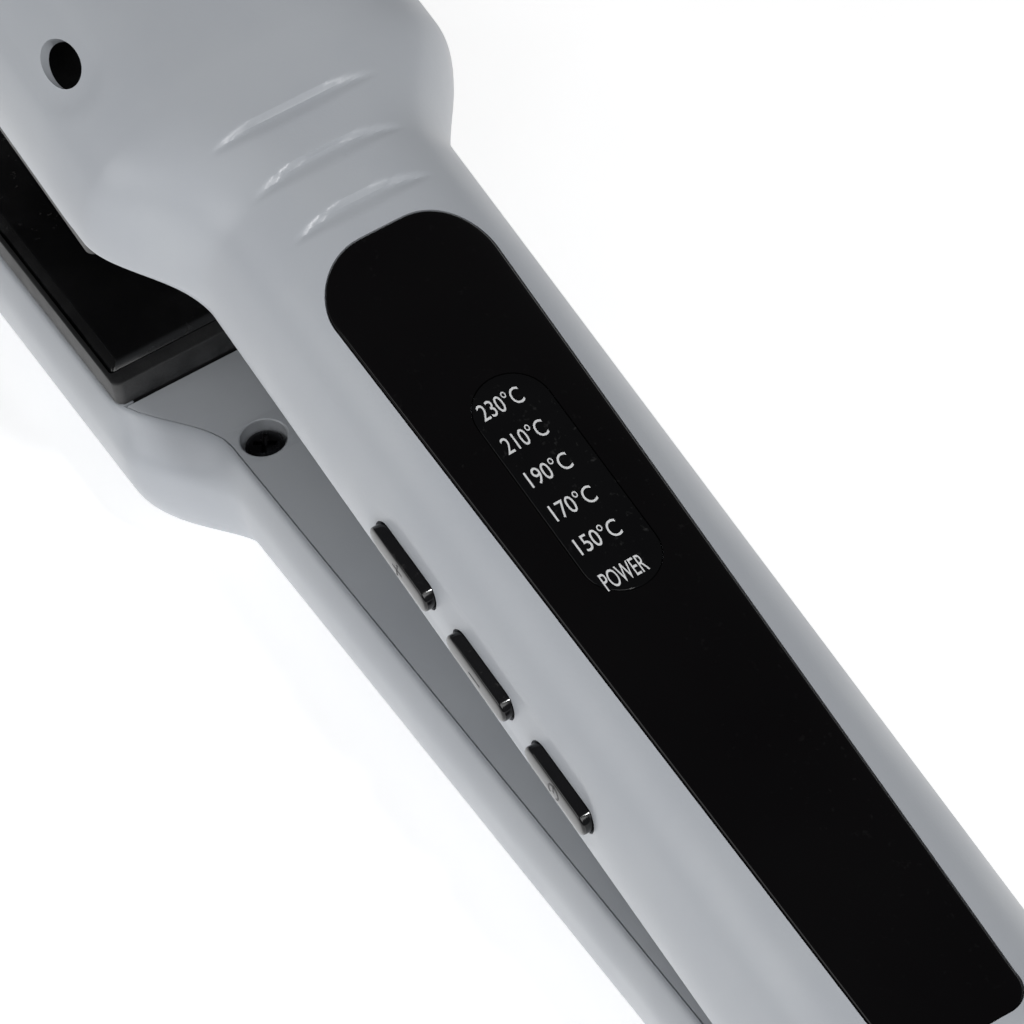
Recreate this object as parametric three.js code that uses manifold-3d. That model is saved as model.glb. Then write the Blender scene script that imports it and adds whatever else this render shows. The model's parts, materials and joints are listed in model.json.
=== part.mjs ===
// A wide-plate hair straightener, modelled in millimetres with +Z up.
// Two hollow arms turn on a pin at the rear and carry a floating heating plate each.
// Each arm is drawn in its own frame: the pin at the origin, +X towards the tip, z = 0 in the
// plane where the two plates meet, and +Z outwards. The lower arm is that frame turned over.
import * as THREE from 'three';
import { mergeVertices } from 'three/addons/utils/BufferGeometryUtils.js';
import Module from 'manifold-3d';

const wasm = await Module();
wasm.setup();

// Overall sizes
const tipX = 265;                 // pin axis to the tip of the arms
const rearX = -13;                // pin axis to the rear wall
const openAngle = 9.8;            // degrees between the arms at rest
const handleRimHalf = 15.1;       // half width of the handle at its inner edge
const headRimHalf = 23;           // half width of the head at its inner edge
const neckStartX = 126.5;
const neckEndX = 142.7;
const neckLean = 5.2;              // how much nearer the pin the neck is above the inner edge
const handleCrownPower = 0.85;    // 1 makes an arm's back elliptical, less makes it squarer
const headCrownPower = 0.83;
const crownDepth = 21.5;          // inner edge to the outermost line of an arm
const bulgeDepth = 5.5;           // inner edge to the widest line of an arm
const bulgeOut = 1.7;             // how far the side swells past the inner edge
const flareOut = 0.6;             // share of the swell that is reached at flareDepth
const flareDepth = 0.4;           // share of the way from the inner edge to the widest line
const handleFlatHalf = 1.5;       // half width of the flat along the outermost line
const headFlatHalf = 6;
const restFlatHalf = 9;           // half width of the flat that the lower head lies on
const pinRimGap = 0.63;           // mating plane to the inner edge, at the pin
const headRimGap = 4.5;           // mating plane to the inner edge, along the head
const rearRelief = 0.2;           // slope that lifts the inner edge behind the pin
const endPlanRadius = 9;
const endSideRadius = 7;
const wall = 1.8;

// Clearances
const gap = 0.3;                  // between pieces that rest on or fit into each other
const pinGap = 0.1;               // pin to its bores
const plateMeetGap = 0.15;        // each plate's face to the mating plane when closed

// Inner covers and their screws
const coverThickness = 1.8;
const rimLip = 0.6;               // lip of the shell outside the cover
const coverRearX = 9;
const screwX = 125.4;
const screwInset = 2.6;             // inside of the shell's wall to the screws
const screwY = handleRimHalf - wall - screwInset;
const screwWellRadius = 2.95;
const screwWellDepth = 3.4;
const screwBossWall = 0.8;
const screwBossFloor = 1.6;
const screwBossRoot = 0.2;         // how deep each boss is rooted in the cover
const screwHeadRadius = 2.5;
const screwHeadHeight = 1.7;
const screwDome = 0.4;
const screwTipCut = 0.5;
const screwShankRadius = 1.2;
const screwShankLength = 8;
const barrelWebReach = 2;          // how far the barrels' webs lap onto the cover

// Hinge
const pinRadius = 2;
const barrelRadius = 5.2;
const centreBarrelHalf = 7;
const earWidth = 5;
const barrelWebHeight = 4;
const pinEndOut = 0.9;
const hingeSpringX = 19;
const hingeSpringRadius = 3;
const hingeSpringWire = 0.45;
const hingeSpringTurns = 5;
const springCupDepth = 4.6;
const springCupWall = 1.2;
const springCupGap = 1.1;          // round the spring, so that it stays clear as the arms turn
const springLean = 0.4;            // the spring stands this much nearer the pin than its cups

// Heads: carriers, plates and heaters
const carrierRearX = 140.3;
const carrierEdgeInset = 0.3;     // carrier's side inside the head's inner edge
const carrierLipZ = 0.6;          // mating plane to the carrier's edge
const carrierFloorZ = 11;
const carrierFloor = 1.5;
const carrierWall = 1.6;
const carrierRimWidth = 0.6;       // carrier's edge beside the plate
const carrierRearStrip = 2.25;     // carrier's edge behind the plate
const carrierTipStrip = 10;        // tip of the arms to the plate
const carrierCornerRadius = 0.8;
const skirtTipRadius = 5;
const skirtLap = 0.2;              // how far the skirt is rooted in the carrier's edge
const hollowRearInset = 2;
const hollowTipInset = 4;
const hollowRearRadius = 1;
const hollowTipRadius = 3;
const ledgeThickness = 0.8;
const plateThickness = 2.2;
const plateBevel = 0.7;
const plateSideGap = 0.45;
const plateRearX = carrierRearX + carrierRearStrip + plateSideGap;
const plateLength = tipX - carrierTipStrip - plateRearX;
const plateHalf = headRimHalf - carrierEdgeInset - carrierRimWidth - plateSideGap;
const plateTravel = 0.8;
const heaterLength = 76;
const heaterWidth = 14;
const heaterThickness = 3;
const clampThickness = 0.8;
const plateSpringRadius = 2.4;
const plateSpringWire = 0.35;
const plateSpringTurns = 3;
const fuseRadius = 1.7;
const fuseLength = 12;

// Display: inlaid panel, window, lamps and board
const panelFrontX = 110.8;
const panelRearX = -4;
const panelFrontHalf = 10.5;
const panelRearHalf = 7.9;
const panelFrontRadius = 7.5;
const panelRearRadius = 3.5;
const panelThickness = 0.8;
const windowX = 72.4;
const windowLength = 30.4;
const windowWidth = 9.2;
const windowSteps = 10;            // steps round each end of the window
const windowLedge = 0.5;           // shell's ledge under the window's edge
const lampNames = ['led_230', 'led_210', 'led_190', 'led_170', 'led_150', 'led_power'];
const firstLampX = 84.5;
const lampPitch = 4.95;
const lampSize = 2.4;
const lampHeight = 1.6;
const boardDepth = 14.2;          // inner edge of the arm to the board's underside
const boardThickness = 1.6;
const boardRearX = 34;
const boardFrontX = 104;
const boardHalf = 8;

// Side buttons, on the +Y side of the upper arm
const buttonNames = ['plus', 'minus', 'power'];
const firstButtonX = 79.2;
const buttonPitch = 16;
const buttonLength = 12;
const buttonHeight = 3.4;
const buttonDepthLine = 8.4;      // inner edge of the arm to the buttons' centre line
const buttonProud = 0.85;
const buttonStem = 4.2;
const buttonFlange = 0.9;
const buttonFlangeThickness = 1;
const buttonTravel = 0.6;
const switchHeight = 3.2;
const switchSide = 6;
const switchBodyHalf = 2;
const switchTipRadius = 1.4;
const switchTipLength = 1;
const switchTipRoot = 0.4;
const switchBoardThickness = 1.2;
const switchBoardBelow = 4;        // board below and above the buttons' line
const switchBoardAbove = 3;

// Marks on the upper head
const grooves = [                 // where each finger groove lies, and half its span
  { x: 130.2, halfSpan: 10.8 },
  { x: 122.8, halfSpan: 9.9 },
  { x: 115.3, halfSpan: 9 },
];
const grooveBow = 0.7;
const grooveWidth = 1.5;
const grooveDepth = 0.5;
const ventFirstX = 151.4;
const ventPitch = 30;
const ventCount = 4;
const ventY = 16.6;
const ventLength = 7.2;
const ventWidth = 4.6;
const ventZ = 20.6;
const ventTilt = 38;              // degrees the vents lean out from straight up
const ventReach = 6;              // how far the vent's cut runs in and out from there

// Cord swivel, in the rear wall of the lower arm
const swivelZ = 8.8;
const swivelNeckRadius = 4.4;
const swivelFlangeRadius = 5.6;
const swivelFlangeThickness = 1.5;
const swivelCollarRadius = 6;
const swivelCollarLength = 3;
const swivelTailLength = 10;
const swivelTailRadius = 4.3;
const swivelTailFlare = 0.4;       // how much wider the tail is, a little in from its end
const swivelFlareX = 2;
const cordHoleRadius = 3.1;

const degrees = Math.PI / 180;
const rimSlope = (headRimGap - pinRimGap) / carrierRearX;

// ---------- solids ----------

function toSolid(geometry) {
  const plain = geometry.index ? geometry.clone() : geometry;
  plain.deleteAttribute('normal');
  plain.deleteAttribute('uv');
  const merged = mergeVertices(plain, 1e-4);
  return new wasm.Manifold(new wasm.Mesh({
    numProp: 3,
    vertProperties: new Float32Array(merged.attributes.position.array),
    triVerts: new Uint32Array(merged.index.array),
  }));
}

function toGeometry(solid) {
  const mesh = solid.getMesh();
  const geometry = new THREE.BufferGeometry();
  geometry.setAttribute('position', new THREE.BufferAttribute(mesh.vertProperties, 3));
  geometry.setIndex(new THREE.BufferAttribute(mesh.triVerts, 1));
  return geometry;
}

// A closed skin over a row of rings that all have the same number of points.
function loft(rings) {
  const count = rings[0].length;
  const corners = rings.flat().flatMap((point) => [point.x, point.y, point.z]);
  const faces = [];
  for (let row = 0; row < rings.length - 1; row += 1) {
    for (let i = 0; i < count; i += 1) {
      const a = row * count + i;
      const b = row * count + (i + 1) % count;
      faces.push(a, b, a + count, b, b + count, a + count);
    }
  }
  const flat = (ring) => ring.map((point) => new THREE.Vector2(point.y, point.z));
  const last = (rings.length - 1) * count;
  for (const [a, b, c] of THREE.ShapeUtils.triangulateShape(flat(rings[0]), [])) {
    faces.push(a, c, b);
  }
  for (const [a, b, c] of THREE.ShapeUtils.triangulateShape(flat(rings[rings.length - 1]), [])) {
    faces.push(last + a, last + b, last + c);
  }
  const geometry = new THREE.BufferGeometry();
  geometry.setAttribute('position', new THREE.Float32BufferAttribute(corners, 3));
  geometry.setIndex(faces);
  return toSolid(geometry);
}

function box(low, high) {
  const size = high.map((value, i) => value - low[i]);
  const geometry = new THREE.BoxGeometry(...size);
  geometry.translate(...low.map((value, i) => value + size[i] / 2));
  return toSolid(geometry);
}

// A round bar between two points.
function bar(start, end, radius, sides = 24) {
  const from = new THREE.Vector3(...start);
  const run = new THREE.Vector3(...end).sub(from);
  const geometry = new THREE.CylinderGeometry(radius, radius, run.length(), sides);
  geometry.translate(0, run.length() / 2, 0);
  const up = new THREE.Vector3(0, 1, 0);
  const turn = new THREE.Quaternion().setFromUnitVectors(up, run.clone().normalize());
  geometry.applyQuaternion(turn);
  geometry.translate(...start);
  return toSolid(geometry);
}

// A plan outline in XY raised from one height to another.
function upright(shape, low, high, curveSegments = 4) {
  const run = { depth: high - low, bevelEnabled: false, curveSegments };
  const geometry = new THREE.ExtrudeGeometry(shape, run);
  geometry.translate(0, 0, low);
  return toSolid(geometry);
}

// An outline in the plane of the arm's side (x, z) run through in Y from one place to another.
function sideways(shape, low, high, curveSegments = 5) {
  const run = { depth: high - low, bevelEnabled: false, curveSegments };
  const geometry = new THREE.ExtrudeGeometry(shape, run);
  geometry.rotateX(Math.PI / 2);
  geometry.translate(0, high, 0);
  return toSolid(geometry);
}

// A profile of (radius, height) points turned about Z.
function turned(profile, sides = 20) {
  const outline = profile.map(([r, z]) => new THREE.Vector2(r, z));
  return toSolid(new THREE.LatheGeometry(outline, sides).rotateX(Math.PI / 2));
}

// A coil spring about Z, from one height to another.
function coil(radius, wire, low, high, turns) {
  class Helix extends THREE.Curve {
    getPoint(t, target = new THREE.Vector3()) {
      const angle = t * turns * 2 * Math.PI;
      const height = low + wire + t * (high - low - 2 * wire);
      return target.set(radius * Math.cos(angle), radius * Math.sin(angle), height);
    }
  }
  const section = new THREE.Shape();
  section.absarc(0, 0, wire, 0, 2 * Math.PI);
  const stepsPerTurn = 9;
  const run = { steps: turns * stepsPerTurn, extrudePath: new Helix(), curveSegments: 2 };
  return toSolid(new THREE.ExtrudeGeometry(section, run));
}

// A plan outline with one corner radius at its rear and another at its tip end.
function roundedBox(x0, x1, half, rearRadius, frontRadius) {
  const shape = new THREE.Shape();
  shape.moveTo(x0 + rearRadius, -half);
  shape.lineTo(x1 - frontRadius, -half);
  shape.absarc(x1 - frontRadius, -half + frontRadius, frontRadius, -Math.PI / 2, 0);
  shape.absarc(x1 - frontRadius, half - frontRadius, frontRadius, 0, Math.PI / 2);
  shape.absarc(x0 + rearRadius, half - rearRadius, rearRadius, Math.PI / 2, Math.PI);
  shape.absarc(x0 + rearRadius, -half + rearRadius, rearRadius, Math.PI, 1.5 * Math.PI);
  return shape;
}

function capsule(x, z, length, width) {
  const reach = (length - width) / 2;
  const shape = new THREE.Shape();
  shape.moveTo(x - reach, z - width / 2);
  shape.absarc(x + reach, z, width / 2, -Math.PI / 2, Math.PI / 2);
  shape.absarc(x - reach, z, width / 2, Math.PI / 2, 1.5 * Math.PI);
  return shape;
}

// ---------- the arm's outline ----------

function neckBlend(x) {
  return THREE.MathUtils.smoothstep(x, neckStartX, neckEndX);
}

function rimHalf(x) {
  return THREE.MathUtils.lerp(handleRimHalf, headRimHalf, neckBlend(x));
}

function rimZ(x) {
  const behindPin = Math.max(0, -x) * rearRelief;
  return Math.min(headRimGap, pinRimGap + rimSlope * x) + behindPin;
}

function flatHalf(x, headFlat) {
  return THREE.MathUtils.lerp(handleFlatHalf, headFlat, neckBlend(x + neckLean));
}

function sideHalf(x) {
  return rimHalf(x + neckLean) + bulgeOut;
}

function crownPower(x) {
  return THREE.MathUtils.lerp(handleCrownPower, headCrownPower, neckBlend(x + neckLean));
}

// Half width of an arm at one depth from its inner edge, on its curved outer side.
function outerHalf(x, depth) {
  const flat = flatHalf(x, headFlatHalf);
  const power = crownPower(x);
  const lift = THREE.MathUtils.clamp((depth - bulgeDepth) / (crownDepth - bulgeDepth), 0, 1);
  return flat + (sideHalf(x) - flat) * (1 - lift ** (2 / power)) ** (power / 2);
}

// The places along the neck that its curve is drawn through, both ends included.
function neckXs() {
  const steps = 9;
  const places = Array.from({ length: steps + 1 }, (_, i) => i / steps);
  return places.map((share) => THREE.MathUtils.lerp(neckStartX - neckLean, neckEndX, share));
}

// Stations along an arm: x, and how much of each end's rounding is left to take off there.
function armStations(inset) {
  const stations = [];
  const endSteps = [0, 30, 60, 90];
  const radius = endPlanRadius - inset;
  for (const angle of endSteps) {
    const left = 1 - Math.sin(angle * degrees);
    stations.push({ x: rearX + inset + radius * (1 - Math.cos(angle * degrees)), left });
  }
  for (const x of [0, ...neckXs()]) {
    stations.push({ x, left: 0 });
  }
  for (const angle of endSteps.toReversed()) {
    const left = 1 - Math.sin(angle * degrees);
    stations.push({ x: tipX - inset - radius * (1 - Math.cos(angle * degrees)), left });
  }
  return stations;
}

// One ring around an arm. inset draws it inside the outer skin, open lengthens it past the
// inner edge so that a hollow cut with it has an open mouth, and headFlat is half the width of
// the flat along the head.
function armRing({ x, left }, inset, open, headFlat) {
  const narrower = inset + left * (endPlanRadius - inset);
  const lower = inset + left * (endSideRadius - inset);
  const flat = flatHalf(x, headFlat) - left;
  const rim = rimZ(x);
  const edge = rimHalf(x) - narrower;
  const side = sideHalf(x) - narrower;
  const bulge = rim + bulgeDepth;
  const swell = [edge + flareOut * (side - edge), rim + flareDepth * bulgeDepth];
  const right = [[edge, rim - open], swell, [side, bulge]];
  const crown = rim + crownDepth - lower;
  const roundSteps = 6;
  for (let i = 1; i <= roundSteps; i += 1) {
    const turn = (i / roundSteps) * 90 * degrees;
    const out = Math.max(0, Math.cos(turn)) ** crownPower(x);
    const up = Math.sin(turn) ** crownPower(x);
    right.push([flat + (side - flat) * out, bulge + (crown - bulge) * up]);
  }
  const left0 = right.map(([y, z]) => [-y, z]).reverse();
  return [...right, ...left0].map(([y, z]) => new THREE.Vector3(x, y, z));
}

function armBody(inset, open = 0, headFlat = headFlatHalf) {
  return loft(armStations(inset).map((station) => armRing(station, inset, open, headFlat)));
}

// A strip that follows the inner edge: its side stands in from the edge by inset, and it runs
// from one depth to another.
function rimStrip(x0, x1, inset, depth0, depth1) {
  const rings = [];
  for (const x of [x0, ...neckXs().filter((place) => place < x1), x1]) {
    const half = rimHalf(x) - inset;
    const low = rimZ(x) + depth0;
    const high = rimZ(x) + depth1;
    const section = [[half, low], [half, high], [-half, high], [-half, low]];
    rings.push(section.map(([y, z]) => new THREE.Vector3(x, y, z)));
  }
  return loft(rings);
}

// ---------- pieces shared by both arms ----------

const farOut = 60;                // beyond every face of an arm
const past = 1;                   // how far a cut runs past the face it starts from
const shellMouth = armBody(wall, past);
const outerSkin = armBody(0);

// A round bar at each of the two cover screws, between two depths from the inner edge.
function screwBars(depth0, depth1, radius) {
  const low = rimZ(screwX) + depth0;
  const high = rimZ(screwX) + depth1;
  return [-screwY, screwY].map((y) => bar([screwX, y, low], [screwX, y, high], radius));
}

// The hollow shell of an arm, with a pillar for each screw and a seat for the inner cover.
function makeShell(skin) {
  let shell = skin.subtract(shellMouth);
  const pillarLow = screwWellDepth + screwBossFloor + gap;
  for (const pillar of screwBars(pillarLow, crownDepth, screwWellRadius)) {
    shell = shell.add(pillar.intersect(skin));
  }
  for (const hole of screwBars(pillarLow - past, pillarLow + screwShankLength, screwShankRadius + gap)) {
    shell = shell.subtract(hole);
  }
  const seat = rimStrip(coverRearX - gap, carrierRearX, rimLip, -past, coverThickness + gap);
  return shell.subtract(seat);
}

// The flat cover inside a handle, with its two screw wells, the spring's cup and the barrels.
function makeCover(barrels) {
  let cover = rimStrip(coverRearX, carrierRearX - gap, rimLip + gap, 0, coverThickness);
  const bossEnd = screwWellDepth + screwBossFloor;
  for (const boss of screwBars(screwBossRoot, bossEnd, screwWellRadius + screwBossWall)) {
    cover = cover.add(boss);
  }
  for (const well of screwBars(-past, screwWellDepth, screwWellRadius)) {
    cover = cover.subtract(well);
  }
  for (const hole of screwBars(-past, crownDepth, screwShankRadius + gap)) {
    cover = cover.subtract(hole);
  }
  const cupRadius = hingeSpringRadius + hingeSpringWire + springCupGap;
  const cupMouth = rimZ(hingeSpringX);
  const cupOut = [hingeSpringX, 0, cupMouth + springCupDepth + springCupWall];
  cover = cover.add(bar([hingeSpringX, 0, cupMouth + screwBossRoot], cupOut, cupRadius + springCupWall));
  const cupFloor = [hingeSpringX, 0, cupMouth + springCupDepth];
  cover = cover.subtract(bar([hingeSpringX, 0, cupMouth - past], cupFloor, cupRadius));
  for (const [low, high] of barrels) {
    const webLow = rimZ(coverRearX);
    const web = box([0, low, webLow], [coverRearX + barrelWebReach, high, webLow + barrelWebHeight]);
    cover = cover.add(web).add(bar([0, low, 0], [0, high, 0], barrelRadius, 32));
  }
  return cover.subtract(bar([0, -farOut, 0], [0, farOut, 0], pinRadius + pinGap, 32));
}

// The tray that closes the head's mouth: an edge round the plate, a skirt behind it inside the
// head, a pocket for the plate and a hollow for the heater.
function makeCarrier() {
  const tip = tipX - carrierEdgeInset;
  const half = headRimHalf - carrierEdgeInset;
  const far = headRimGap - gap;
  const tipRadius = endPlanRadius - carrierEdgeInset;
  const edge = roundedBox(carrierRearX, tip, half, carrierCornerRadius, tipRadius);
  const skirtHalf = headRimHalf - wall - gap;
  const skirtRear = carrierRearX + 2 * gap;
  const skirtTip = tipX - wall - endPlanRadius / 2;
  const skirt = roundedBox(skirtRear, skirtTip, skirtHalf, carrierCornerRadius, skirtTipRadius);
  const rear = plateRearX - plateSideGap;
  const front = plateRearX + plateLength + plateSideGap;
  const pocket = roundedBox(rear, front, plateHalf + plateSideGap, plateSideGap, plateSideGap);
  const hollowRear = rear + hollowRearInset;
  const hollowTip = front - hollowTipInset;
  const hollowHalf = skirtHalf - carrierWall;
  const hollow = roundedBox(hollowRear, hollowTip, hollowHalf, hollowRearRadius, hollowTipRadius);
  return upright(edge, carrierLipZ, far)
    .add(upright(skirt, far - skirtLap, carrierFloorZ))
    .subtract(upright(pocket, -past, far - ledgeThickness))
    .subtract(upright(hollow, -past, carrierFloorZ - carrierFloor));
}

function makePlate() {
  const near = plateMeetGap;
  const levels = [[near, plateBevel], [near + plateBevel, 0], [near + plateThickness, 0]];
  return stackedLevels(levels.map(([z, inset]) => {
    const x0 = plateRearX + inset;
    const x1 = plateRearX + plateLength - inset;
    const half = plateHalf - inset;
    const corners = [[x0, -half], [x1, -half], [x1, half], [x0, half]];
    return corners.map(([x, y]) => new THREE.Vector3(x, y, z));
  }));
}

// Stacks level four-cornered outlines into one solid.
function stackedLevels(sections) {
  const corners = sections.flat().flatMap((point) => [point.x, point.y, point.z]);
  const top = (sections.length - 1) * 4;
  const faces = [0, 2, 1, 0, 3, 2, top, top + 1, top + 2, top, top + 2, top + 3];
  for (let row = 0; row < sections.length - 1; row += 1) {
    for (let i = 0; i < 4; i += 1) {
      const a = row * 4 + i;
      const b = row * 4 + (i + 1) % 4;
      faces.push(a, b, a + 4, b, b + 4, a + 4);
    }
  }
  const geometry = new THREE.BufferGeometry();
  geometry.setAttribute('position', new THREE.Float32BufferAttribute(corners, 3));
  geometry.setIndex(faces);
  return toSolid(geometry);
}

const plateBackZ = plateMeetGap + plateThickness;
const plateMiddleX = plateRearX + plateLength / 2;
const plateSpringOut = (plateLength + heaterLength) / 4 - plateSpringWire;

function makeHeater() {
  const x0 = plateMiddleX - heaterLength / 2;
  const low = plateBackZ + gap;
  return box([x0, -heaterWidth / 2, low], [x0 + heaterLength, heaterWidth / 2, low + heaterThickness]);
}

// A spring-steel strap over the heater, with a foot along each side.
function makeClamp() {
  const x0 = plateMiddleX - heaterLength / 4;
  const x1 = plateMiddleX + heaterLength / 4;
  const half = heaterWidth / 2 + gap;
  const foot = plateBackZ + gap;
  const top = foot + heaterThickness + gap;
  const strap = box([x0, -half - clampThickness, foot], [x1, half + clampThickness, top + clampThickness]);
  return strap.subtract(box([x0 - past, -half, foot - past], [x1 + past, half, top]));
}

function makeFuse() {
  const x0 = plateMiddleX - heaterLength / 4;
  const z = plateBackZ + gap + fuseRadius;
  const y = heaterWidth / 2 + gap + clampThickness + gap + fuseRadius;
  return bar([x0, y, z], [x0 + fuseLength, y, z], fuseRadius, 12);
}

function makePlateSpring(x) {
  const low = plateBackZ + gap;
  const high = carrierFloorZ - carrierFloor - gap;
  return coil(plateSpringRadius, plateSpringWire, low, high, plateSpringTurns).translate([x, 0, 0]);
}

function makeCoverScrew(side) {
  const seat = rimZ(screwX) + screwWellDepth - gap;
  const end = seat + screwShankLength;
  const face = seat - screwHeadHeight;
  const profile = [
    [0, face - screwDome], [screwHeadRadius / Math.SQRT2, face - screwDome / 2],
    [screwHeadRadius, face], [screwHeadRadius, seat], [screwShankRadius, seat],
    [screwShankRadius, end - screwTipCut], [0, end],
  ];
  return turned(profile, 16).translate([screwX, side * screwY, 0]);
}

// ---------- pieces of the upper arm ----------

function panelOutline(spread) {
  const front = panelFrontX + spread;
  const rear = panelRearX - spread;
  const frontHalf = panelFrontHalf + spread;
  const rearHalf = panelRearHalf + spread;
  const shape = new THREE.Shape();
  const frontX = front - panelFrontRadius;
  const rearMiddle = rear + panelRearRadius;
  const frontY = frontHalf - panelFrontRadius;
  const rearY = rearHalf - panelRearRadius;
  shape.moveTo(rearMiddle, -rearHalf);
  shape.absarc(frontX, -frontY, panelFrontRadius, -Math.PI / 2, 0);
  shape.absarc(frontX, frontY, panelFrontRadius, 0, Math.PI / 2);
  shape.absarc(rearMiddle, rearY, panelRearRadius, Math.PI / 2, Math.PI);
  shape.absarc(rearMiddle, -rearY, panelRearRadius, Math.PI, 1.5 * Math.PI);
  return shape;
}

const panelStart = pinRimGap + bulgeDepth;
const panelBed = armBody(panelThickness + gap);
const panelBack = armBody(panelThickness);

function makePanel() {
  const slab = upright(panelOutline(0), panelStart, farOut).intersect(outerSkin);
  const hole = capsule(windowX, 0, windowLength + 2 * gap, windowWidth + 2 * gap);
  return slab.subtract(panelBack).subtract(upright(hole, panelStart, farOut, windowSteps));
}

function makeWindow() {
  const lens = upright(capsule(windowX, 0, windowLength, windowWidth), panelStart, farOut, windowSteps);
  return lens.intersect(outerSkin).subtract(panelBack);
}

function makeBoard() {
  const low = rimZ(boardRearX) + boardDepth;
  return box([boardRearX, -boardHalf, low], [boardFrontX, boardHalf, low + boardThickness]);
}

function makeLamp(i) {
  const x = firstLampX - i * lampPitch;
  const low = rimZ(boardRearX) + boardDepth + boardThickness + gap;
  return box([x - lampSize / 2, -lampSize / 2, low], [x + lampSize / 2, lampSize / 2, low + lampHeight]);
}

function buttonPlace(i) {
  const x = firstButtonX - i * buttonPitch;
  const z = rimZ(x) + buttonDepthLine;
  const face = outerHalf(x, buttonDepthLine) + buttonProud;
  return { x, z, face };
}

function makeButton(i) {
  const { x, z, face } = buttonPlace(i);
  const back = face - buttonProud - buttonStem;
  const stem = sideways(capsule(x, z, buttonLength, buttonHeight), back, face);
  const flangeShape = capsule(x, z, buttonLength + 2 * buttonFlange, buttonHeight + 2 * buttonFlange);
  return stem.add(sideways(flangeShape, back, back + buttonFlangeThickness));
}

function makeSwitch(i) {
  const { x, z, face } = buttonPlace(i);
  const tip = face - buttonProud - buttonStem - buttonTravel - gap;
  const near = tip - switchTipLength;
  const low = [x - switchSide / 2, tip - switchHeight, z - switchBodyHalf];
  const body = box(low, [x + switchSide / 2, near, z + switchBodyHalf]);
  return body.add(bar([x, near - switchTipRoot, z], [x, tip, z], switchTipRadius, 16));
}

function makeSwitchBoard() {
  const { z, face } = buttonPlace(1);
  const far = face - buttonProud - buttonStem - buttonTravel - 2 * gap - switchHeight;
  const x0 = firstButtonX - 2 * buttonPitch - buttonLength / 2;
  const x1 = firstButtonX + buttonLength / 2;
  const low = [x0, far - switchBoardThickness, z - switchBoardBelow];
  return box(low, [x1, far, z + switchBoardAbove]);
}

// A crescent that bows towards the tip.
function grooveShape({ x, halfSpan }) {
  const ends = x - grooveBow / 2;
  const bow = x + 1.5 * grooveBow;
  const shape = new THREE.Shape();
  shape.moveTo(ends, -halfSpan);
  shape.quadraticCurveTo(bow, 0, ends, halfSpan);
  shape.quadraticCurveTo(bow - 2 * grooveWidth, 0, ends, -halfSpan);
  return shape;
}

function makeUpperShell() {
  let shell = makeShell(outerSkin);
  const bed = upright(panelOutline(gap), panelStart, farOut).subtract(panelBed);
  shell = shell.subtract(bed);
  const light = capsule(windowX, 0, windowLength - 2 * windowLedge, windowWidth - 2 * windowLedge);
  shell = shell.subtract(upright(light, panelStart, farOut));
  const grooveFloor = armBody(grooveDepth);
  for (const groove of grooves) {
    shell = shell.subtract(upright(grooveShape(groove), panelStart, farOut).subtract(grooveFloor));
  }
  const oval = new THREE.Shape();
  oval.absellipse(0, 0, ventLength / 2, ventWidth / 2, 0, 2 * Math.PI);
  for (let i = 0; i < ventCount; i += 1) {
    const vent = upright(oval, -ventReach, ventReach);
    for (const side of [-1, 1]) {
      const leant = vent.rotate([-side * ventTilt, 0, 0]);
      shell = shell.subtract(leant.translate([ventFirstX + i * ventPitch, side * ventY, ventZ]));
    }
  }
  buttonNames.forEach((name, i) => {
    const { x, z } = buttonPlace(i);
    const hole = capsule(x, z, buttonLength + 2 * gap, buttonHeight + 2 * gap);
    shell = shell.subtract(sideways(hole, handleRimHalf / 2, farOut));
  });
  return shell;
}

// ---------- pieces of the lower arm ----------

function makeLowerShell() {
  const outside = [rearX - past, 0, swivelZ];
  const inside = [rearX + wall + past, 0, swivelZ];
  const skin = armBody(0, 0, restFlatHalf);
  return makeShell(skin).subtract(bar(outside, inside, swivelNeckRadius + gap, 32));
}

function makeSwivel() {
  const inner = rearX + wall + gap;
  const outer = rearX - gap;
  const tail = outer - swivelCollarLength - swivelTailLength;
  const profile = [
    [cordHoleRadius, tail], [swivelTailRadius, tail],
    [swivelTailRadius + swivelTailFlare, tail + swivelFlareX],
    [swivelCollarRadius, outer - swivelCollarLength], [swivelCollarRadius, outer],
    [swivelNeckRadius, outer], [swivelNeckRadius, inner], [swivelFlangeRadius, inner],
    [swivelFlangeRadius, inner + swivelFlangeThickness], [cordHoleRadius, inner + swivelFlangeThickness],
    [cordHoleRadius, tail],
  ];
  const geometry = new THREE.LatheGeometry(profile.map(([r, x]) => new THREE.Vector2(r, x)), 32);
  geometry.rotateZ(-Math.PI / 2);
  geometry.translate(0, 0, swivelZ);
  return toSolid(geometry);
}

// ---------- assembly ----------

function look(color, roughness, metalness) {
  return new THREE.MeshStandardMaterial({ color, roughness, metalness });
}

const looks = {
  shell: look(0xb4b9bf, 0.42, 0),
  cover: look(0xa4a9ae, 0.5, 0),
  black: look(0x0c0c0d, 0.12, 0),
  smoked: look(0x08080a, 0.06, 0),
  carrier: look(0x1c1c1e, 0.5, 0),
  plate: look(0x0a0a0b, 0.18, 0.2),
  button: look(0xb9bdc2, 0.35, 0),
  steel: look(0x9a9da1, 0.3, 1),
  darkSteel: look(0x1a1a1c, 0.35, 1),
  ceramic: look(0xdad6cc, 0.7, 0),
  board: look(0x1e5b3a, 0.6, 0),
  lamp: look(0xd8dce0, 0.3, 0),
  switchBody: look(0x16171a, 0.5, 0),
  rubber: look(0x17181a, 0.7, 0),
};

function place(group, name, solid, material) {
  const mesh = new THREE.Mesh(toGeometry(solid), material);
  mesh.name = name;
  group.add(mesh);
}

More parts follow.
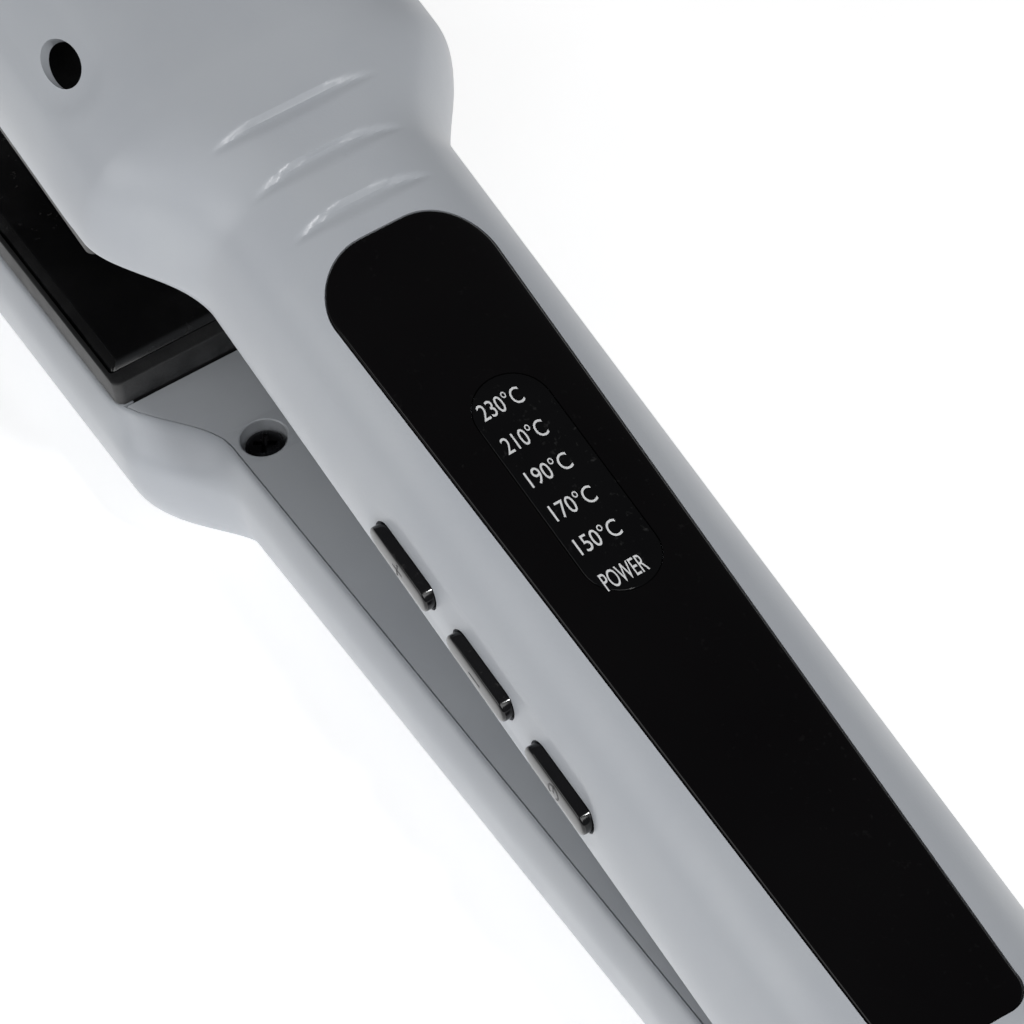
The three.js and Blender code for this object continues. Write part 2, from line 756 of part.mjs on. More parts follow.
// Everything that both arms have.
function furnishArm(group, name, shell, barrels) {
  place(group, `${name}_shell`, shell, looks.shell);
  place(group, `${name}_inner_cover`, makeCover(barrels), looks.cover);
  place(group, `${name}_plate_carrier`, makeCarrier(), looks.carrier);
  place(group, `${name}_heating_plate`, makePlate(), looks.plate);
  place(group, `${name}_heater`, makeHeater(), looks.ceramic);
  place(group, `${name}_heater_clamp`, makeClamp(), looks.steel);
  place(group, `${name}_thermal_fuse`, makeFuse(), looks.steel);
  const rearSpring = makePlateSpring(plateMiddleX - plateSpringOut);
  const frontSpring = makePlateSpring(plateMiddleX + plateSpringOut);
  place(group, `${name}_plate_spring_rear`, rearSpring, looks.steel);
  place(group, `${name}_plate_spring_front`, frontSpring, looks.steel);
  place(group, `${name}_cover_screw_left`, makeCoverScrew(1), looks.darkSteel);
  place(group, `${name}_cover_screw_right`, makeCoverScrew(-1), looks.darkSteel);
}

const earInner = centreBarrelHalf + gap;
const earOuter = earInner + earWidth;

const upperArm = new THREE.Group();
furnishArm(upperArm, 'upper', makeUpperShell(), [[-centreBarrelHalf, centreBarrelHalf]]);
place(upperArm, 'display_panel', makePanel(), looks.black);
place(upperArm, 'display_window', makeWindow(), looks.smoked);
place(upperArm, 'control_board', makeBoard(), looks.board);
lampNames.forEach((name, i) => place(upperArm, name, makeLamp(i), looks.lamp));
buttonNames.forEach((name, i) => place(upperArm, `${name}_button`, makeButton(i), looks.button));
buttonNames.forEach((name, i) => place(upperArm, `${name}_switch`, makeSwitch(i), looks.switchBody));
place(upperArm, 'switch_board', makeSwitchBoard(), looks.board);
upperArm.rotation.y = -openAngle * degrees;

const lowerArm = new THREE.Group();
furnishArm(lowerArm, 'lower', makeLowerShell(), [[-earOuter, -earInner], [earInner, earOuter]]);
place(lowerArm, 'cord_swivel', makeSwivel(), looks.rubber);
const pinHalf = earOuter + pinEndOut;
place(lowerArm, 'hinge_pin', bar([0, -pinHalf, 0], [0, pinHalf, 0], pinRadius, 32), looks.steel);
lowerArm.rotation.x = Math.PI;

const springLow = -(rimZ(hingeSpringX) + springCupDepth) + gap;
const springTop = hingeSpringX * Math.tan(openAngle * degrees) + springCupDepth;
const springHigh = springTop - 2 * gap;
const hingeSpring = coil(hingeSpringRadius, hingeSpringWire, springLow, springHigh, hingeSpringTurns);

const arms = new THREE.Group();
arms.add(lowerArm, upperArm);
const springX = hingeSpringX - springLean;
place(arms, 'hinge_spring', hingeSpring.translate([springX, 0, 0]), looks.steel);

// The finished object stands on the lower head, centred over its origin.
const straightener = new THREE.Group();
straightener.name = 'hair_straightener';
straightener.add(arms);
straightener.updateMatrixWorld(true);
const extent = new THREE.Box3().setFromObject(straightener, true);
const middle = extent.getCenter(new THREE.Vector3());
arms.position.set(-middle.x, -middle.y, -extent.min.z);
straightener.updateMatrixWorld(true);

export default straightener;
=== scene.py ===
import json
import math
import bmesh
import bpy
import numpy as np
from mathutils import Euler, Matrix, Vector


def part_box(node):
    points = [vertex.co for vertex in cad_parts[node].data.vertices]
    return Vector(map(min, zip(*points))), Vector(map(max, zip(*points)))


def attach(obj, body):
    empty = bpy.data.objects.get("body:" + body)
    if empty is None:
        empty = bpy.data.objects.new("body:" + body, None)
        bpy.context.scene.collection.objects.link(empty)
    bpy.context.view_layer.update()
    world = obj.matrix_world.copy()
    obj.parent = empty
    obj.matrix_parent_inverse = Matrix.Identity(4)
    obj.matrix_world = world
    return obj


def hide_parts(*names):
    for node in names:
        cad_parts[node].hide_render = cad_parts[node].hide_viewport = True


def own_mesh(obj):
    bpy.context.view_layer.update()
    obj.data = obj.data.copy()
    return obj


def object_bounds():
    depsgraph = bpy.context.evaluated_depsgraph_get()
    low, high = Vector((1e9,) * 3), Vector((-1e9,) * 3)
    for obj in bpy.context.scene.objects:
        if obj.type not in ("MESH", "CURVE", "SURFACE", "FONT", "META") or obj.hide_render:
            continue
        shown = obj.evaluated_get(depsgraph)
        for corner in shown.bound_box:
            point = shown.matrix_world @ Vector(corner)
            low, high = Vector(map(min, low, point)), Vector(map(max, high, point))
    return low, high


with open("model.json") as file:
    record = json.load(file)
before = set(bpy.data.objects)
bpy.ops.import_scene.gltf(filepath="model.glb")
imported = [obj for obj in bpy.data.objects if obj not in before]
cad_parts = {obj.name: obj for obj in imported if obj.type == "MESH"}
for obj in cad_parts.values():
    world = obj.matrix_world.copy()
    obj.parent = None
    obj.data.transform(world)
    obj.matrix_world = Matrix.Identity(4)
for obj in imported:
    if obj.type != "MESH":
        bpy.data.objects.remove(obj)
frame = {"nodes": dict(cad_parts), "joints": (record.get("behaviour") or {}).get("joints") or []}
cad_low, cad_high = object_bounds()

# ---------------------------------------------------------------------------------------------
# Arm shells
# Each arm is one moulded half-round shell in silver-grey plastic with a satin, very fine grain,
# open towards the other arm. Both come from the same outline, the lower one turned over.
# ---------------------------------------------------------------------------------------------
MM = 0.001
joints = {joint["name"]: joint for joint in frame["joints"]}
pin = Vector(joints["arm_hinge"]["pos_m"])
open_angle = math.radians(joints["arm_hinge"]["range_deg"][1])
arm_frames = {
    "lower": Matrix.Translation(pin) @ Matrix.Rotation(math.pi, 4, "X"),
    "upper": Matrix.Translation(pin) @ Matrix.Rotation(-open_angle, 4, "Y"),
}

shell_low, shell_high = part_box("lower_shell")
tip_x = shell_high.x - pin.x
rear_x = shell_low.x - pin.x
bulge_out = 1.7 * MM
bulge_depth = 5.5 * MM
head_rim_gap = 4.5 * MM
pin_rim_gap = 0.63 * MM
head_rim_half = shell_high.y - bulge_out
handle_rim_half = 15.1 * MM
crown_depth = pin.z - shell_low.z - head_rim_gap
carrier_rear_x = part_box("lower_plate_carrier")[0].x - pin.x
neck_start_x = 126.5 * MM
neck_end_x = 142.7 * MM
neck_lean = 5.2 * MM
handle_crown_power = 0.85
head_crown_power = 0.83
handle_flat_half = 1.5 * MM
head_flat_half = 6 * MM
rear_relief = 0.2
end_plan_radius = 9 * MM
end_side_radius = 7 * MM
wall = 1.8 * MM
rim_lip = 0.45 * MM
cover_thickness = 1.8 * MM
rim_slope = (head_rim_gap - pin_rim_gap) / carrier_rear_x


def smooth(value, low, high):
    t = np.clip((value - low) / (high - low), 0, 1)
    return t * t * (3 - 2 * t)


def neck_blend(x):
    return smooth(x, neck_start_x, neck_end_x)


def rim_half(x):
    return handle_rim_half + (head_rim_half - handle_rim_half) * neck_blend(x)


def flat_half(x, head_flat=head_flat_half):
    return handle_flat_half + (head_flat - handle_flat_half) * neck_blend(x + neck_lean)


def side_half(x):
    return rim_half(x + neck_lean) + bulge_out


def crown_power(x):
    return handle_crown_power + (head_crown_power - handle_crown_power) * neck_blend(x + neck_lean)


def rim_z(x):
    return np.minimum(head_rim_gap, pin_rim_gap + rim_slope * x) + np.maximum(0, -x) * rear_relief


def skin_z(x, y):
    """Height of the outer skin over a place on the arm's curved back."""
    flat = flat_half(x)
    power = crown_power(x)
    across = np.clip((np.abs(y) - flat) / (side_half(x) - flat), 0, 1)
    return rim_z(x) + bulge_depth + (crown_depth - bulge_depth) * (1 - across**(2 / power))**(power / 2)


def stations(places, inset, end_steps):
    """Places along the arm, and the share of the end rounding still to take off at each."""
    radius = end_plan_radius - inset
    turns = np.linspace(0, math.pi / 2, end_steps)
    rear = [(rear_x + inset + radius * (1 - math.cos(t)), 1 - math.sin(t)) for t in turns]
    front = [(tip_x - inset - radius * (1 - math.cos(t)), 1 - math.sin(t)) for t in turns[::-1]]
    inner = [(x, 0.0) for x in places if rear[-1][0] + 0.4 * MM < x < front[0][0] - 0.4 * MM]
    return rear + inner + front


def arm_ring(x, left, inset, open_by, flare_steps, round_steps, corner=0.0, head_flat=head_flat_half):
    """One closed ring round the arm in (y, z), from one inner edge over the back to the other."""
    narrower = inset + left * (end_plan_radius - inset)
    lower = inset + left * (end_side_radius - inset)
    flat = max(0.4 * MM, flat_half(x, head_flat) - left * MM)
    power = crown_power(x)
    rim = float(rim_z(x))
    edge = float(rim_half(x)) - narrower
    side = float(side_half(x)) - narrower
    half = [(edge - corner, rim - open_by)]
    if corner:
        half.append((edge - corner * 0.3, rim + corner * 0.25))
    for u in np.linspace(corner / bulge_depth, 1, flare_steps):
        half.append((edge + (side - edge) * math.sin(u * math.pi / 2), rim + bulge_depth * u))
    crown = rim + crown_depth - lower
    bulge = rim + bulge_depth
    for turn in np.linspace(0, math.pi / 2, round_steps)[1:]:
        out = max(0, math.cos(turn))**power
        half.append((flat + (side - flat) * out, bulge + (crown - bulge) * math.sin(turn)**power))
    return np.array(half + [(-y, z) for y, z in reversed(half)])


def mesh_piece(name, points, faces):
    mesh = bpy.data.meshes.new(name)
    mesh.from_pydata([tuple(p) for p in points], [], [tuple(f) for f in faces])
    mesh.update()
    piece = bpy.data.objects.new(name, mesh)
    bpy.context.scene.collection.objects.link(piece)
    return piece


def ringed(name, rings, capped=True):
    """A closed skin over rings that all have the same number of points."""
    rings = np.array(rings)
    rows, count = rings.shape[:2]
    faces = []
    for row in range(rows - 1):
        for i in range(count):
            a, b = row * count + i, row * count + (i + 1) % count
            faces.append((a, b, b + count, a + count))
    if capped:
        faces.append(tuple(range(count))[::-1])
        faces.append(tuple(range((rows - 1) * count, rows * count)))
    piece = mesh_piece(name, rings.reshape(-1, 3), faces)
    face_outwards(piece)
    return piece


def face_outwards(piece):
    form = bmesh.new()
    form.from_mesh(piece.data)
    bmesh.ops.recalc_face_normals(form, faces=form.faces)
    form.to_mesh(piece.data)
    form.free()


def combine(piece, other, operation):
    """Cuts or joins a second solid into a piece, and keeps the result as its mesh."""
    step = piece.modifiers.new("cut", "BOOLEAN")
    step.operation = operation
    step.solver = "MANIFOLD"
    step.object = other
    bpy.context.view_layer.update()
    solid = bpy.data.meshes.new_from_object(piece.evaluated_get(bpy.context.evaluated_depsgraph_get()))
    piece.modifiers.clear()
    piece.data = solid
    bpy.data.objects.remove(other)
    return piece


def round_bar(name, start, end, radius, sides=48):
    """A plain round bar between two points, used as a cutter or a core."""
    start, end = Vector(start), Vector(end)
    run = end - start
    turn = run.to_track_quat("Z", "Y").to_matrix()
    rings = []
    for centre in (start, end):
        rings.append([centre + turn @ Vector((radius * math.cos(a), radius * math.sin(a), 0))
                      for a in np.linspace(0, 2 * math.pi, sides, endpoint=False)])
    return ringed(name, rings)


def finished(piece, arm, body, nodes, materials, crease=35):
    """Puts a piece drawn in an arm's frame in its place, dresses it and lets it ride a body."""
    if arm:
        piece.data.transform(arm_frames[arm])
    piece.data.materials.clear()
    for material in materials:
        piece.data.materials.append(material)
    piece.data.shade_smooth()
    piece.data.set_sharp_from_angle(angle=math.radians(crease))
    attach(piece, body)
    if nodes:
        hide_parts(*nodes)
    return piece


def node_group(name, inputs, outputs):
    tree = bpy.data.node_groups.new(name, "ShaderNodeTree")
    for label, value in inputs:
        socket = tree.interface.new_socket(label, in_out="INPUT", socket_type="NodeSocketFloat")
        socket.default_value = value
    for label, kind in outputs:
        tree.interface.new_socket(label, in_out="OUTPUT", socket_type=kind)
    return tree, tree.nodes.new("NodeGroupInput"), tree.nodes.new("NodeGroupOutput")


def noise(tree, coordinate, scale, detail=2.0, roughness=0.5):
    node = tree.nodes.new("ShaderNodeTexNoise")
    node.inputs["Detail"].default_value = detail
    node.inputs["Roughness"].default_value = roughness
    tree.links.new(coordinate, node.inputs["Vector"])
    if isinstance(scale, (int, float)):
        node.inputs["Scale"].default_value = scale
    else:
        tree.links.new(scale, node.inputs["Scale"])
    return node.outputs["Fac"]


def reckon(tree, operation, *values, clamp=False):
    node = tree.nodes.new("ShaderNodeMath")
    node.operation = operation
    node.use_clamp = clamp
    for socket, value in zip(node.inputs, values):
        if isinstance(value, (int, float)):
            socket.default_value = value
        else:
            tree.links.new(value, socket)
    return node.outputs[0]


def ramp(tree, value, low, high, to_low=0.0, to_high=1.0):
    node = tree.nodes.new("ShaderNodeMapRange")
    node.interpolation_type = "SMOOTHSTEP"
    tree.links.new(value, node.inputs["Value"])
    for label, number in (("From Min", low), ("From Max", high), ("To Min", to_low), ("To Max", to_high)):
        node.inputs[label].default_value = number
    return node.outputs["Result"]


# Moulded grain: a fine pebble from the mould, and a broad, faint mottle of the plastic's colour.
grain_group, grain_in, grain_out = node_group(
    "moulded grain",
    [("Grain Scale", 2600.0), ("Mottle Scale", 60.0)],
    [("Height", "NodeSocketFloat"), ("Mottle", "NodeSocketFloat")])
grain_place = grain_group.nodes.new("ShaderNodeTexCoord").outputs["Object"]
grain_fine = noise(grain_group, grain_place, grain_in.outputs["Grain Scale"], 3.0, 0.6)
grain_broad = noise(grain_group, grain_place, grain_in.outputs["Mottle Scale"], 4.0, 0.55)
grain_group.links.new(grain_fine, grain_out.inputs["Height"])
grain_group.links.new(ramp(grain_group, grain_broad, 0.3, 0.7), grain_out.inputs["Mottle"])

# Dust: a thin settled film on faces that look up, broken into specks.
dust_group, dust_in, dust_out = node_group(
    "settled dust", [("Amount", 0.1), ("Speck Scale", 900.0)], [("Mask", "NodeSocketFloat")])
dust_up = dust_group.nodes.new("ShaderNodeSeparateXYZ")
dust_group.links.new(dust_group.nodes.new("ShaderNodeNewGeometry").outputs["Normal"], dust_up.inputs[0])
dust_place = dust_group.nodes.new("ShaderNodeTexCoord").outputs["Object"]
dust_specks = noise(dust_group, dust_place, dust_in.outputs["Speck Scale"], 2.0, 0.7)
dust_patch = noise(dust_group, dust_place, 35.0, 2.0, 0.5)
dust_field = reckon(dust_group, "MULTIPLY", ramp(dust_group, dust_specks, 0.62, 0.78),
                    ramp(dust_group, dust_patch, 0.35, 0.7))
dust_mask = reckon(dust_group, "MULTIPLY", dust_field, ramp(dust_group, dust_up.outputs["Z"], 0.2, 0.8))
dust_mask = reckon(dust_group, "MULTIPLY", dust_mask, dust_in.outputs["Amount"], clamp=True)
dust_group.links.new(dust_mask, dust_out.inputs["Mask"])

# Handling wear: outer corners slightly paler from use.
wear_group, wear_in, wear_out = node_group(
    "handling wear", [("Amount", 0.3), ("Patch Scale", 220.0)], [("Mask", "NodeSocketFloat")])
wear_edge = wear_group.nodes.new("ShaderNodeNewGeometry").outputs["Pointiness"]
wear_place = wear_group.nodes.new("ShaderNodeTexCoord").outputs["Object"]
wear_patch = noise(wear_group, wear_place, wear_in.outputs["Patch Scale"], 3.0, 0.6)
wear_mask = reckon(wear_group, "MULTIPLY", ramp(wear_group, wear_edge, 0.52, 0.6),
                   ramp(wear_group, wear_patch, 0.4, 0.65))
wear_mask = reckon(wear_group, "MULTIPLY", wear_mask, wear_in.outputs["Amount"], clamp=True)
wear_group.links.new(wear_mask, wear_out.inputs["Mask"])


def placed_group(tree, group, **values):
    node = tree.nodes.new("ShaderNodeGroup")
    node.node_tree = group
    for label, value in values.items():
        node.inputs[label.replace("_", " ").title()].default_value = value
    return node


def blend_colour(tree, factor, first, second):
    node = tree.nodes.new("ShaderNodeMix")
    node.data_type = "RGBA"
    tree.links.new(factor, node.inputs[0])
    for socket, value in ((node.inputs[6], first), (node.inputs[7], second)):
        if isinstance(value, tuple):
            socket.default_value = (*value, 1)
        else:
            tree.links.new(value, socket)
    return node.outputs[2]


def finish(name, colour, mottled, roughness, spread, grain_scale=2600.0, mottle_scale=60.0, bump=0.05,
           bump_size=0.02, dust=0.1, wear=0.2, dust_colour=(0.62, 0.60, 0.57), worn=None, **sockets):
    """A procedural finish: mottled base, grained surface, settled dust and worn corners."""
    material = bpy.data.materials.new(name)
    material.use_nodes = True
    tree = material.node_tree
    surface = tree.nodes["Principled BSDF"]
    grain = placed_group(tree, grain_group, grain_scale=grain_scale, mottle_scale=mottle_scale)
    film = placed_group(tree, dust_group, amount=dust)
    rub = placed_group(tree, wear_group, amount=wear)
    base = blend_colour(tree, grain.outputs["Mottle"], colour, mottled)
    rubbed = worn or tuple(min(1, c * 1.25 + 0.01) for c in colour)
    base = blend_colour(tree, rub.outputs["Mask"], base, rubbed)
    base = blend_colour(tree, film.outputs["Mask"], base, dust_colour)
    tree.links.new(base, surface.inputs["Base Color"])
    matt = ramp(tree, grain.outputs["Mottle"], 0, 1, roughness - spread, roughness + spread)
    matt = reckon(tree, "ADD", matt, reckon(tree, "MULTIPLY", film.outputs["Mask"], 0.4), clamp=True)
    tree.links.new(matt, surface.inputs["Roughness"])
    relief_node = tree.nodes.new("ShaderNodeBump")
    relief_node.inputs["Strength"].default_value = bump
    relief_node.inputs["Distance"].default_value = bump_size * MM
    tree.links.new(grain.outputs["Height"], relief_node.inputs["Height"])
    tree.links.new(relief_node.outputs["Normal"], surface.inputs["Normal"])
    for label, value in sockets.items():
        surface.inputs[label.replace("_", " ")].default_value = value
    return material


shell_plastic = finish("silver_grey_plastic", (0.50, 0.525, 0.56), (0.475, 0.50, 0.54), 0.34, 0.03,
                       grain_scale=2400.0, bump=0.5, bump_size=0.03, dust=0.04, wear=0.25)
# The shells' inside is the same grey plastic as their outside; it is coloured near-black here as painted
# shade, so the hollow reads dark through the vents, holes and gaps.
shell_inside_painted_shade = finish("shell_inside_painted_shade", (0.012, 0.012, 0.013), (0.02, 0.02, 0.021), 0.6, 0.05)

finger_lines = [130.0 * MM, 122.6 * MM, 115.1 * MM]
finger_half_spans = [10.8 * MM, 9.9 * MM, 9.0 * MM]
finger_bow = 1.2 * MM
finger_width = 2.6 * MM
finger_depth = 0.5 * MM
vent_first_x = 151.4 * MM
vent_pitch = 30 * MM
vent_count = 4
vent_y = 16.6 * MM
vent_z = 20.6 * MM
vent_length = 7.2 * MM
vent_width = 4.6 * MM
vent_tilt = math.radians(38)
vent_groove_half = 4.2 * MM
vent_groove_depth = 0.3 * MM
first_button_x = 79.2 * MM
button_pitch = 16 * MM
button_length = 12 * MM
button_height = 3.4 * MM
button_depth_line = 8.4 * MM
button_bed_depth = 0.3 * MM


def finger_relief(x, y):
    """Three crescent grooves across the neck, steep on the tip side and fading towards the hinge."""
    drop = np.zeros_like(y)
    for crest, span in zip(finger_lines, finger_half_spans):
        across = np.clip(np.abs(y) / span, 0, 1)
        line = crest + finger_bow * (1 - across**2)
        width = finger_width * (1 - across**2) + 0.05 * MM
        behind = line - x
        steep = smooth(behind, -0.1 * MM, 0.5 * MM)
        fade = 1 - smooth(behind, 0.4 * MM, 0.5 * MM + width)
        drop = np.maximum(drop, finger_depth * (1 - across**4) * steep * fade)
    return -drop


def groove_relief(x, y, z):
    """The long shallow groove along each shoulder of the head that the vents sit in."""
    out = np.abs(y) - vent_y
    up = z - vent_z
    along = out * math.cos(vent_tilt) - up * math.sin(vent_tilt)
    last = vent_first_x + (vent_count - 1) * vent_pitch
    beyond = np.maximum(0, np.maximum(vent_first_x - 2.2 * MM - x, x - last - 2.2 * MM))
    reach = np.hypot(beyond, along)
    return -vent_groove_depth * (1 - smooth(reach, vent_groove_half - 0.9 * MM, vent_groove_half + 0.5 * MM))


def button_bed_relief(x, y, z):
    """The faint oval bed around the three buttons."""
    depth = z - rim_z(x)
    first, last = first_button_x - 2 * button_pitch, first_button_x
    beyond = np.maximum(0, np.maximum(first - 2.5 * MM - x, x - last - 2.5 * MM))
    reach = np.hypot(beyond, depth - button_depth_line)
    bed = 1 - smooth(reach, 3.4 * MM, 4.6 * MM)
    return np.where(y > 0, -button_bed_depth * bed, 0)


def spaced(*runs):
    """Places along the arm: (start, end, step) runs joined into one rising list."""
    return sorted({round(float(x), 6) for start, end, step in runs for x in np.arange(start, end, step)})


def arm_solid(name, inset, open_by, places, end_steps, flare_steps, round_steps, corner=0.0, relief=None,
              head_flat=head_flat_half):
    rings = []
    for x, left in stations(places, inset, end_steps):
        ring = arm_ring(x, left, inset, open_by, flare_steps, round_steps, corner, head_flat)
        if relief is not None and left == 0:
            run = np.gradient(ring, axis=0)
            outward = np.stack([run[:, 1], -run[:, 0]], 1)
            outward /= np.linalg.norm(outward, axis=1)[:, None]
            rise = relief(np.full(len(ring), x), ring[:, 0], ring[:, 1])
            rise[:3] = 0
            rise[-3:] = 0
            ring = ring + outward * rise[:, None]
        rings.append([(x, y, z) for y, z in ring])
    return ringed(name, rings)


def rim_strip(name, x0, x1, inset, depth0, depth1, step=2 * MM, soft=0.0):
    """A flat strip that follows the arm's inner edge, its sides standing in from it by inset."""
    rings = []
    for x in np.linspace(x0, x1, int((x1 - x0) / step) + 1):
        half, rim = float(rim_half(x)) - inset, float(rim_z(x))
        low, high = rim + depth0, rim + depth1
        section = [(half - soft, low), (half - soft * 0.3, low + soft * 0.3),
                   (half, low + soft), (half, high)]
        if not soft:
            section = [(half, low), (half, high)]
        rings.append([(x, y, z) for y, z in section + [(-y, z) for y, z in reversed(section)]])
    return ringed(name, rings)


outer_places = spaced((-4 * MM, 38 * MM, 2 * MM), (38 * MM, 90 * MM, 0.8 * MM), (90 * MM, 108 * MM, 1.5 * MM),
                      (108 * MM, 143 * MM, 0.35 * MM), (143 * MM, 260 * MM, 1.2 * MM))
coarse_places = spaced((0, 120 * MM, 20 * MM), (122 * MM, 144 * MM, 2 * MM), (150 * MM, 260 * MM, 30 * MM))


def upper_relief(x, y, z):
    back = z - rim_z(x) > bulge_depth
    return np.where(back, finger_relief(x, y), 0) + groove_relief(x, y, z) + button_bed_relief(x, y, z)


def make_shell(name, relief, head_flat):
    shell = arm_solid(name, 0, 0, outer_places, 14, 9, 34, 0.3 * MM, relief, head_flat)
    shell.data.materials.append(shell_plastic)
    mouth = arm_solid("mouth", wall, 2 * MM, coarse_places, 7, 5, 12)
    # The hollow's cut walls take the near-black painted shade.
    mouth.data.materials.append(shell_inside_painted_shade)
    combine(shell, mouth, "DIFFERENCE")
    seat = rim_strip("seat", 8.7 * MM, carrier_rear_x, rim_lip, -1 * MM, cover_thickness + 0.3 * MM)
    seat.data.materials.append(shell_plastic)
    return combine(shell, seat, "DIFFERENCE")


rest_flat_half = 9 * MM
lower_shell = make_shell("lower_arm_shell", None, rest_flat_half)
swivel_low, swivel_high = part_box("cord_swivel")
swivel_z = pin.z - (swivel_low.z + swivel_high.z) / 2
swivel_hole = round_bar("swivel_hole", (rear_x - 5 * MM, 0, swivel_z),
                        (rear_x + 8 * MM, 0, swivel_z), 4.65 * MM)
swivel_hole.data.materials.append(shell_plastic)
combine(lower_shell, swivel_hole, "DIFFERENCE")
finished(lower_shell, "lower", "lower_arm", ["lower_shell"],
         [shell_plastic, shell_inside_painted_shade], crease=30)

# ---------------------------------------------------------------------------------------------
# Upper shell's openings, display panel and window
# The polished black panel is inlaid in the handle's back; a capsule-shaped window over the
# lamps sits in it. Each is a thin moulded lens that follows the curve of the handle.
# ---------------------------------------------------------------------------------------------
panel_front_x = 110.8 * MM
panel_rear_x = -4 * MM
panel_front_half = 10.5 * MM
panel_rear_half = 7.9 * MM
panel_front_radius = 7.5 * MM
panel_rear_radius = 3.5 * MM
panel_thickness = 0.8 * MM
panel_gap = 0.14 * MM
window_x = 72.4 * MM
window_length = 30.4 * MM
window_width = 9.2 * MM


def panel_outline(spread=0.0, corner_steps=16):
    """Corner by corner round the panel, as (x, y) points, spread outwards."""
    front = (panel_front_x - panel_front_radius, panel_front_half, panel_front_radius)
    rear = (panel_rear_x + panel_rear_radius, panel_rear_half, panel_rear_radius)
    points = []
    corners = ((front, 0, 1), (rear, 90, 1), (rear, 180, -1), (front, 270, -1))
    for (centre_x, half, radius), start, side in corners:
        for t in np.radians(np.linspace(start, start + 90, corner_steps)):
            y = side * (half - radius) + (radius + spread) * math.sin(t)
            points.append((centre_x + (radius + spread) * math.cos(t), y))
    return divided(points, 1.5 * MM)


def capsule_outline(x, y, length, width, spread=0.0, steps=20):
    reach = (length - width) / 2
    radius = width / 2 + spread
    turns = np.radians(np.linspace(-90, 90, steps))
    points = [(x + reach + radius * math.cos(t), y + radius * math.sin(t)) for t in turns]
    points += [(x - reach - radius * math.cos(t), y - radius * math.sin(t)) for t in turns]
    return points


def divided(points, step):
    """The same outline with its long straight runs cut into short ones."""
    result = []
    for (x0, y0), (x1, y1) in zip(points, points[1:] + points[:1]):
        pieces = max(1, int(math.hypot(x1 - x0, y1 - y0) / step))
        result += [(x0 + (x1 - x0) * i / pieces, y0 + (y1 - y0) * i / pieces) for i in range(pieces)]
    return result


def inset_outline(points, amount):
    """The outline moved in by a small amount, each point along its own normal."""
    here = np.array(points)
    run = np.roll(here, -1, 0) - np.roll(here, 1, 0)
    normal = np.stack([run[:, 1], -run[:, 0]], 1)
    normal /= np.linalg.norm(normal, axis=1)[:, None]
    return here - normal * amount


def draped(name, outline, spine, top, thickness, edge_round=0.0):
    """A thin lens over the arm's back: its rim follows the outline, its middle runs to a spine."""
    outline = divided(outline, 1.2 * MM)
    base = np.array(outline)
    layers = [(base, top - thickness), (base, top - edge_round)]
    if edge_round:
        for turn in (30, 60, 90):
            inward = edge_round * (1 - math.cos(math.radians(turn)))
            drop = edge_round * (1 - math.sin(math.radians(turn)))
            layers.append((inset_outline(outline, inward), top - drop))
    rim = inset_outline(outline, edge_round)
    middle = np.stack([np.clip(rim[:, 0], spine[0], spine[1]), np.zeros(len(rim))], 1)
    for share in (0.06, 0.15, 0.3, 0.45, 0.6, 0.75, 0.9):
        layers.append((rim + (middle - rim) * share, top))
    points, faces, count = [], [], len(base)
    for outline_points, lift in layers:
        for x, y in outline_points:
            points.append((x, y, float(skin_z(x, y)) + lift))
    for row in range(len(layers) - 1):
        for i in range(count):
            a, b = row * count + i, row * count + (i + 1) % count
            faces.append((a, b, b + count, a + count))
    low = len(points)
    for x, y in base + (np.stack([np.clip(base[:, 0], *spine), np.zeros(count)], 1) - base) * 0.9:
        points.append((x, y, float(skin_z(x, y)) + top - thickness))
    for i in range(count):
        j = (i + 1) % count
        faces.append((j, i, low + i, low + j))
    faces.append(tuple(range((len(layers) - 1) * count, len(layers) * count)))
    faces.append(tuple(range(low, low + count))[::-1])
    piece = mesh_piece(name, points, faces)
    face_outwards(piece)
    return piece


gloss_black = finish("gloss_black_panel", (0.0025, 0.0022, 0.0026), (0.0035, 0.0032, 0.0036), 0.10, 0.02,
                     grain_scale=300.0, mottle_scale=25.0, bump=0.02, bump_size=0.01, dust=0.08, wear=0.05,
                     dust_colour=(0.10, 0.10, 0.10), Specular_IOR_Level=0.22)
smoked_window = finish("smoked_window", (0.003, 0.003, 0.0035), (0.0045, 0.0045, 0.005), 0.07, 0.015,
                       grain_scale=300.0, mottle_scale=40.0, bump=0.015, bump_size=0.01, dust=0.2, wear=0.05,
                       dust_colour=(0.18, 0.18, 0.18), Specular_IOR_Level=0.22)
panel_spine = (panel_rear_x + panel_rear_radius + 4 * MM, panel_front_x - panel_front_radius - 3.5 * MM)
window_spine = (window_x - (window_length - window_width) / 2, window_x + (window_length - window_width) / 2)

upper_shell = make_shell("upper_arm_shell", upper_relief, head_flat_half)
bed = draped("bed", panel_outline(panel_gap), panel_spine, 6 * MM, 7.0 * MM)
bed.data.materials.append(shell_plastic)
combine(upper_shell, bed, "DIFFERENCE")
for number in range(vent_count):
    for side in (-1, 1):
        turns = np.linspace(0, 2 * math.pi, 48, endpoint=False)
        outline = [(vent_length / 2 * math.cos(t), vent_width / 2 * math.sin(t)) for t in turns]
        vent = ringed("vent", [[(x, y, z) for x, y in outline] for z in (-6 * MM, 6 * MM)])
        vent.data.transform(Matrix.Rotation(-side * vent_tilt, 4, "X"))
        vent.data.transform(Matrix.Translation((vent_first_x + number * vent_pitch, side * vent_y, vent_z)))
        vent.data.materials.append(shell_plastic)
        combine(upper_shell, vent, "DIFFERENCE")


def side_prism(name, outline, y0, y1):
    """An (x, z) outline run through in Y."""
    return ringed(name, [[(x, y, z) for x, z in outline] for y in (y0, y1)])


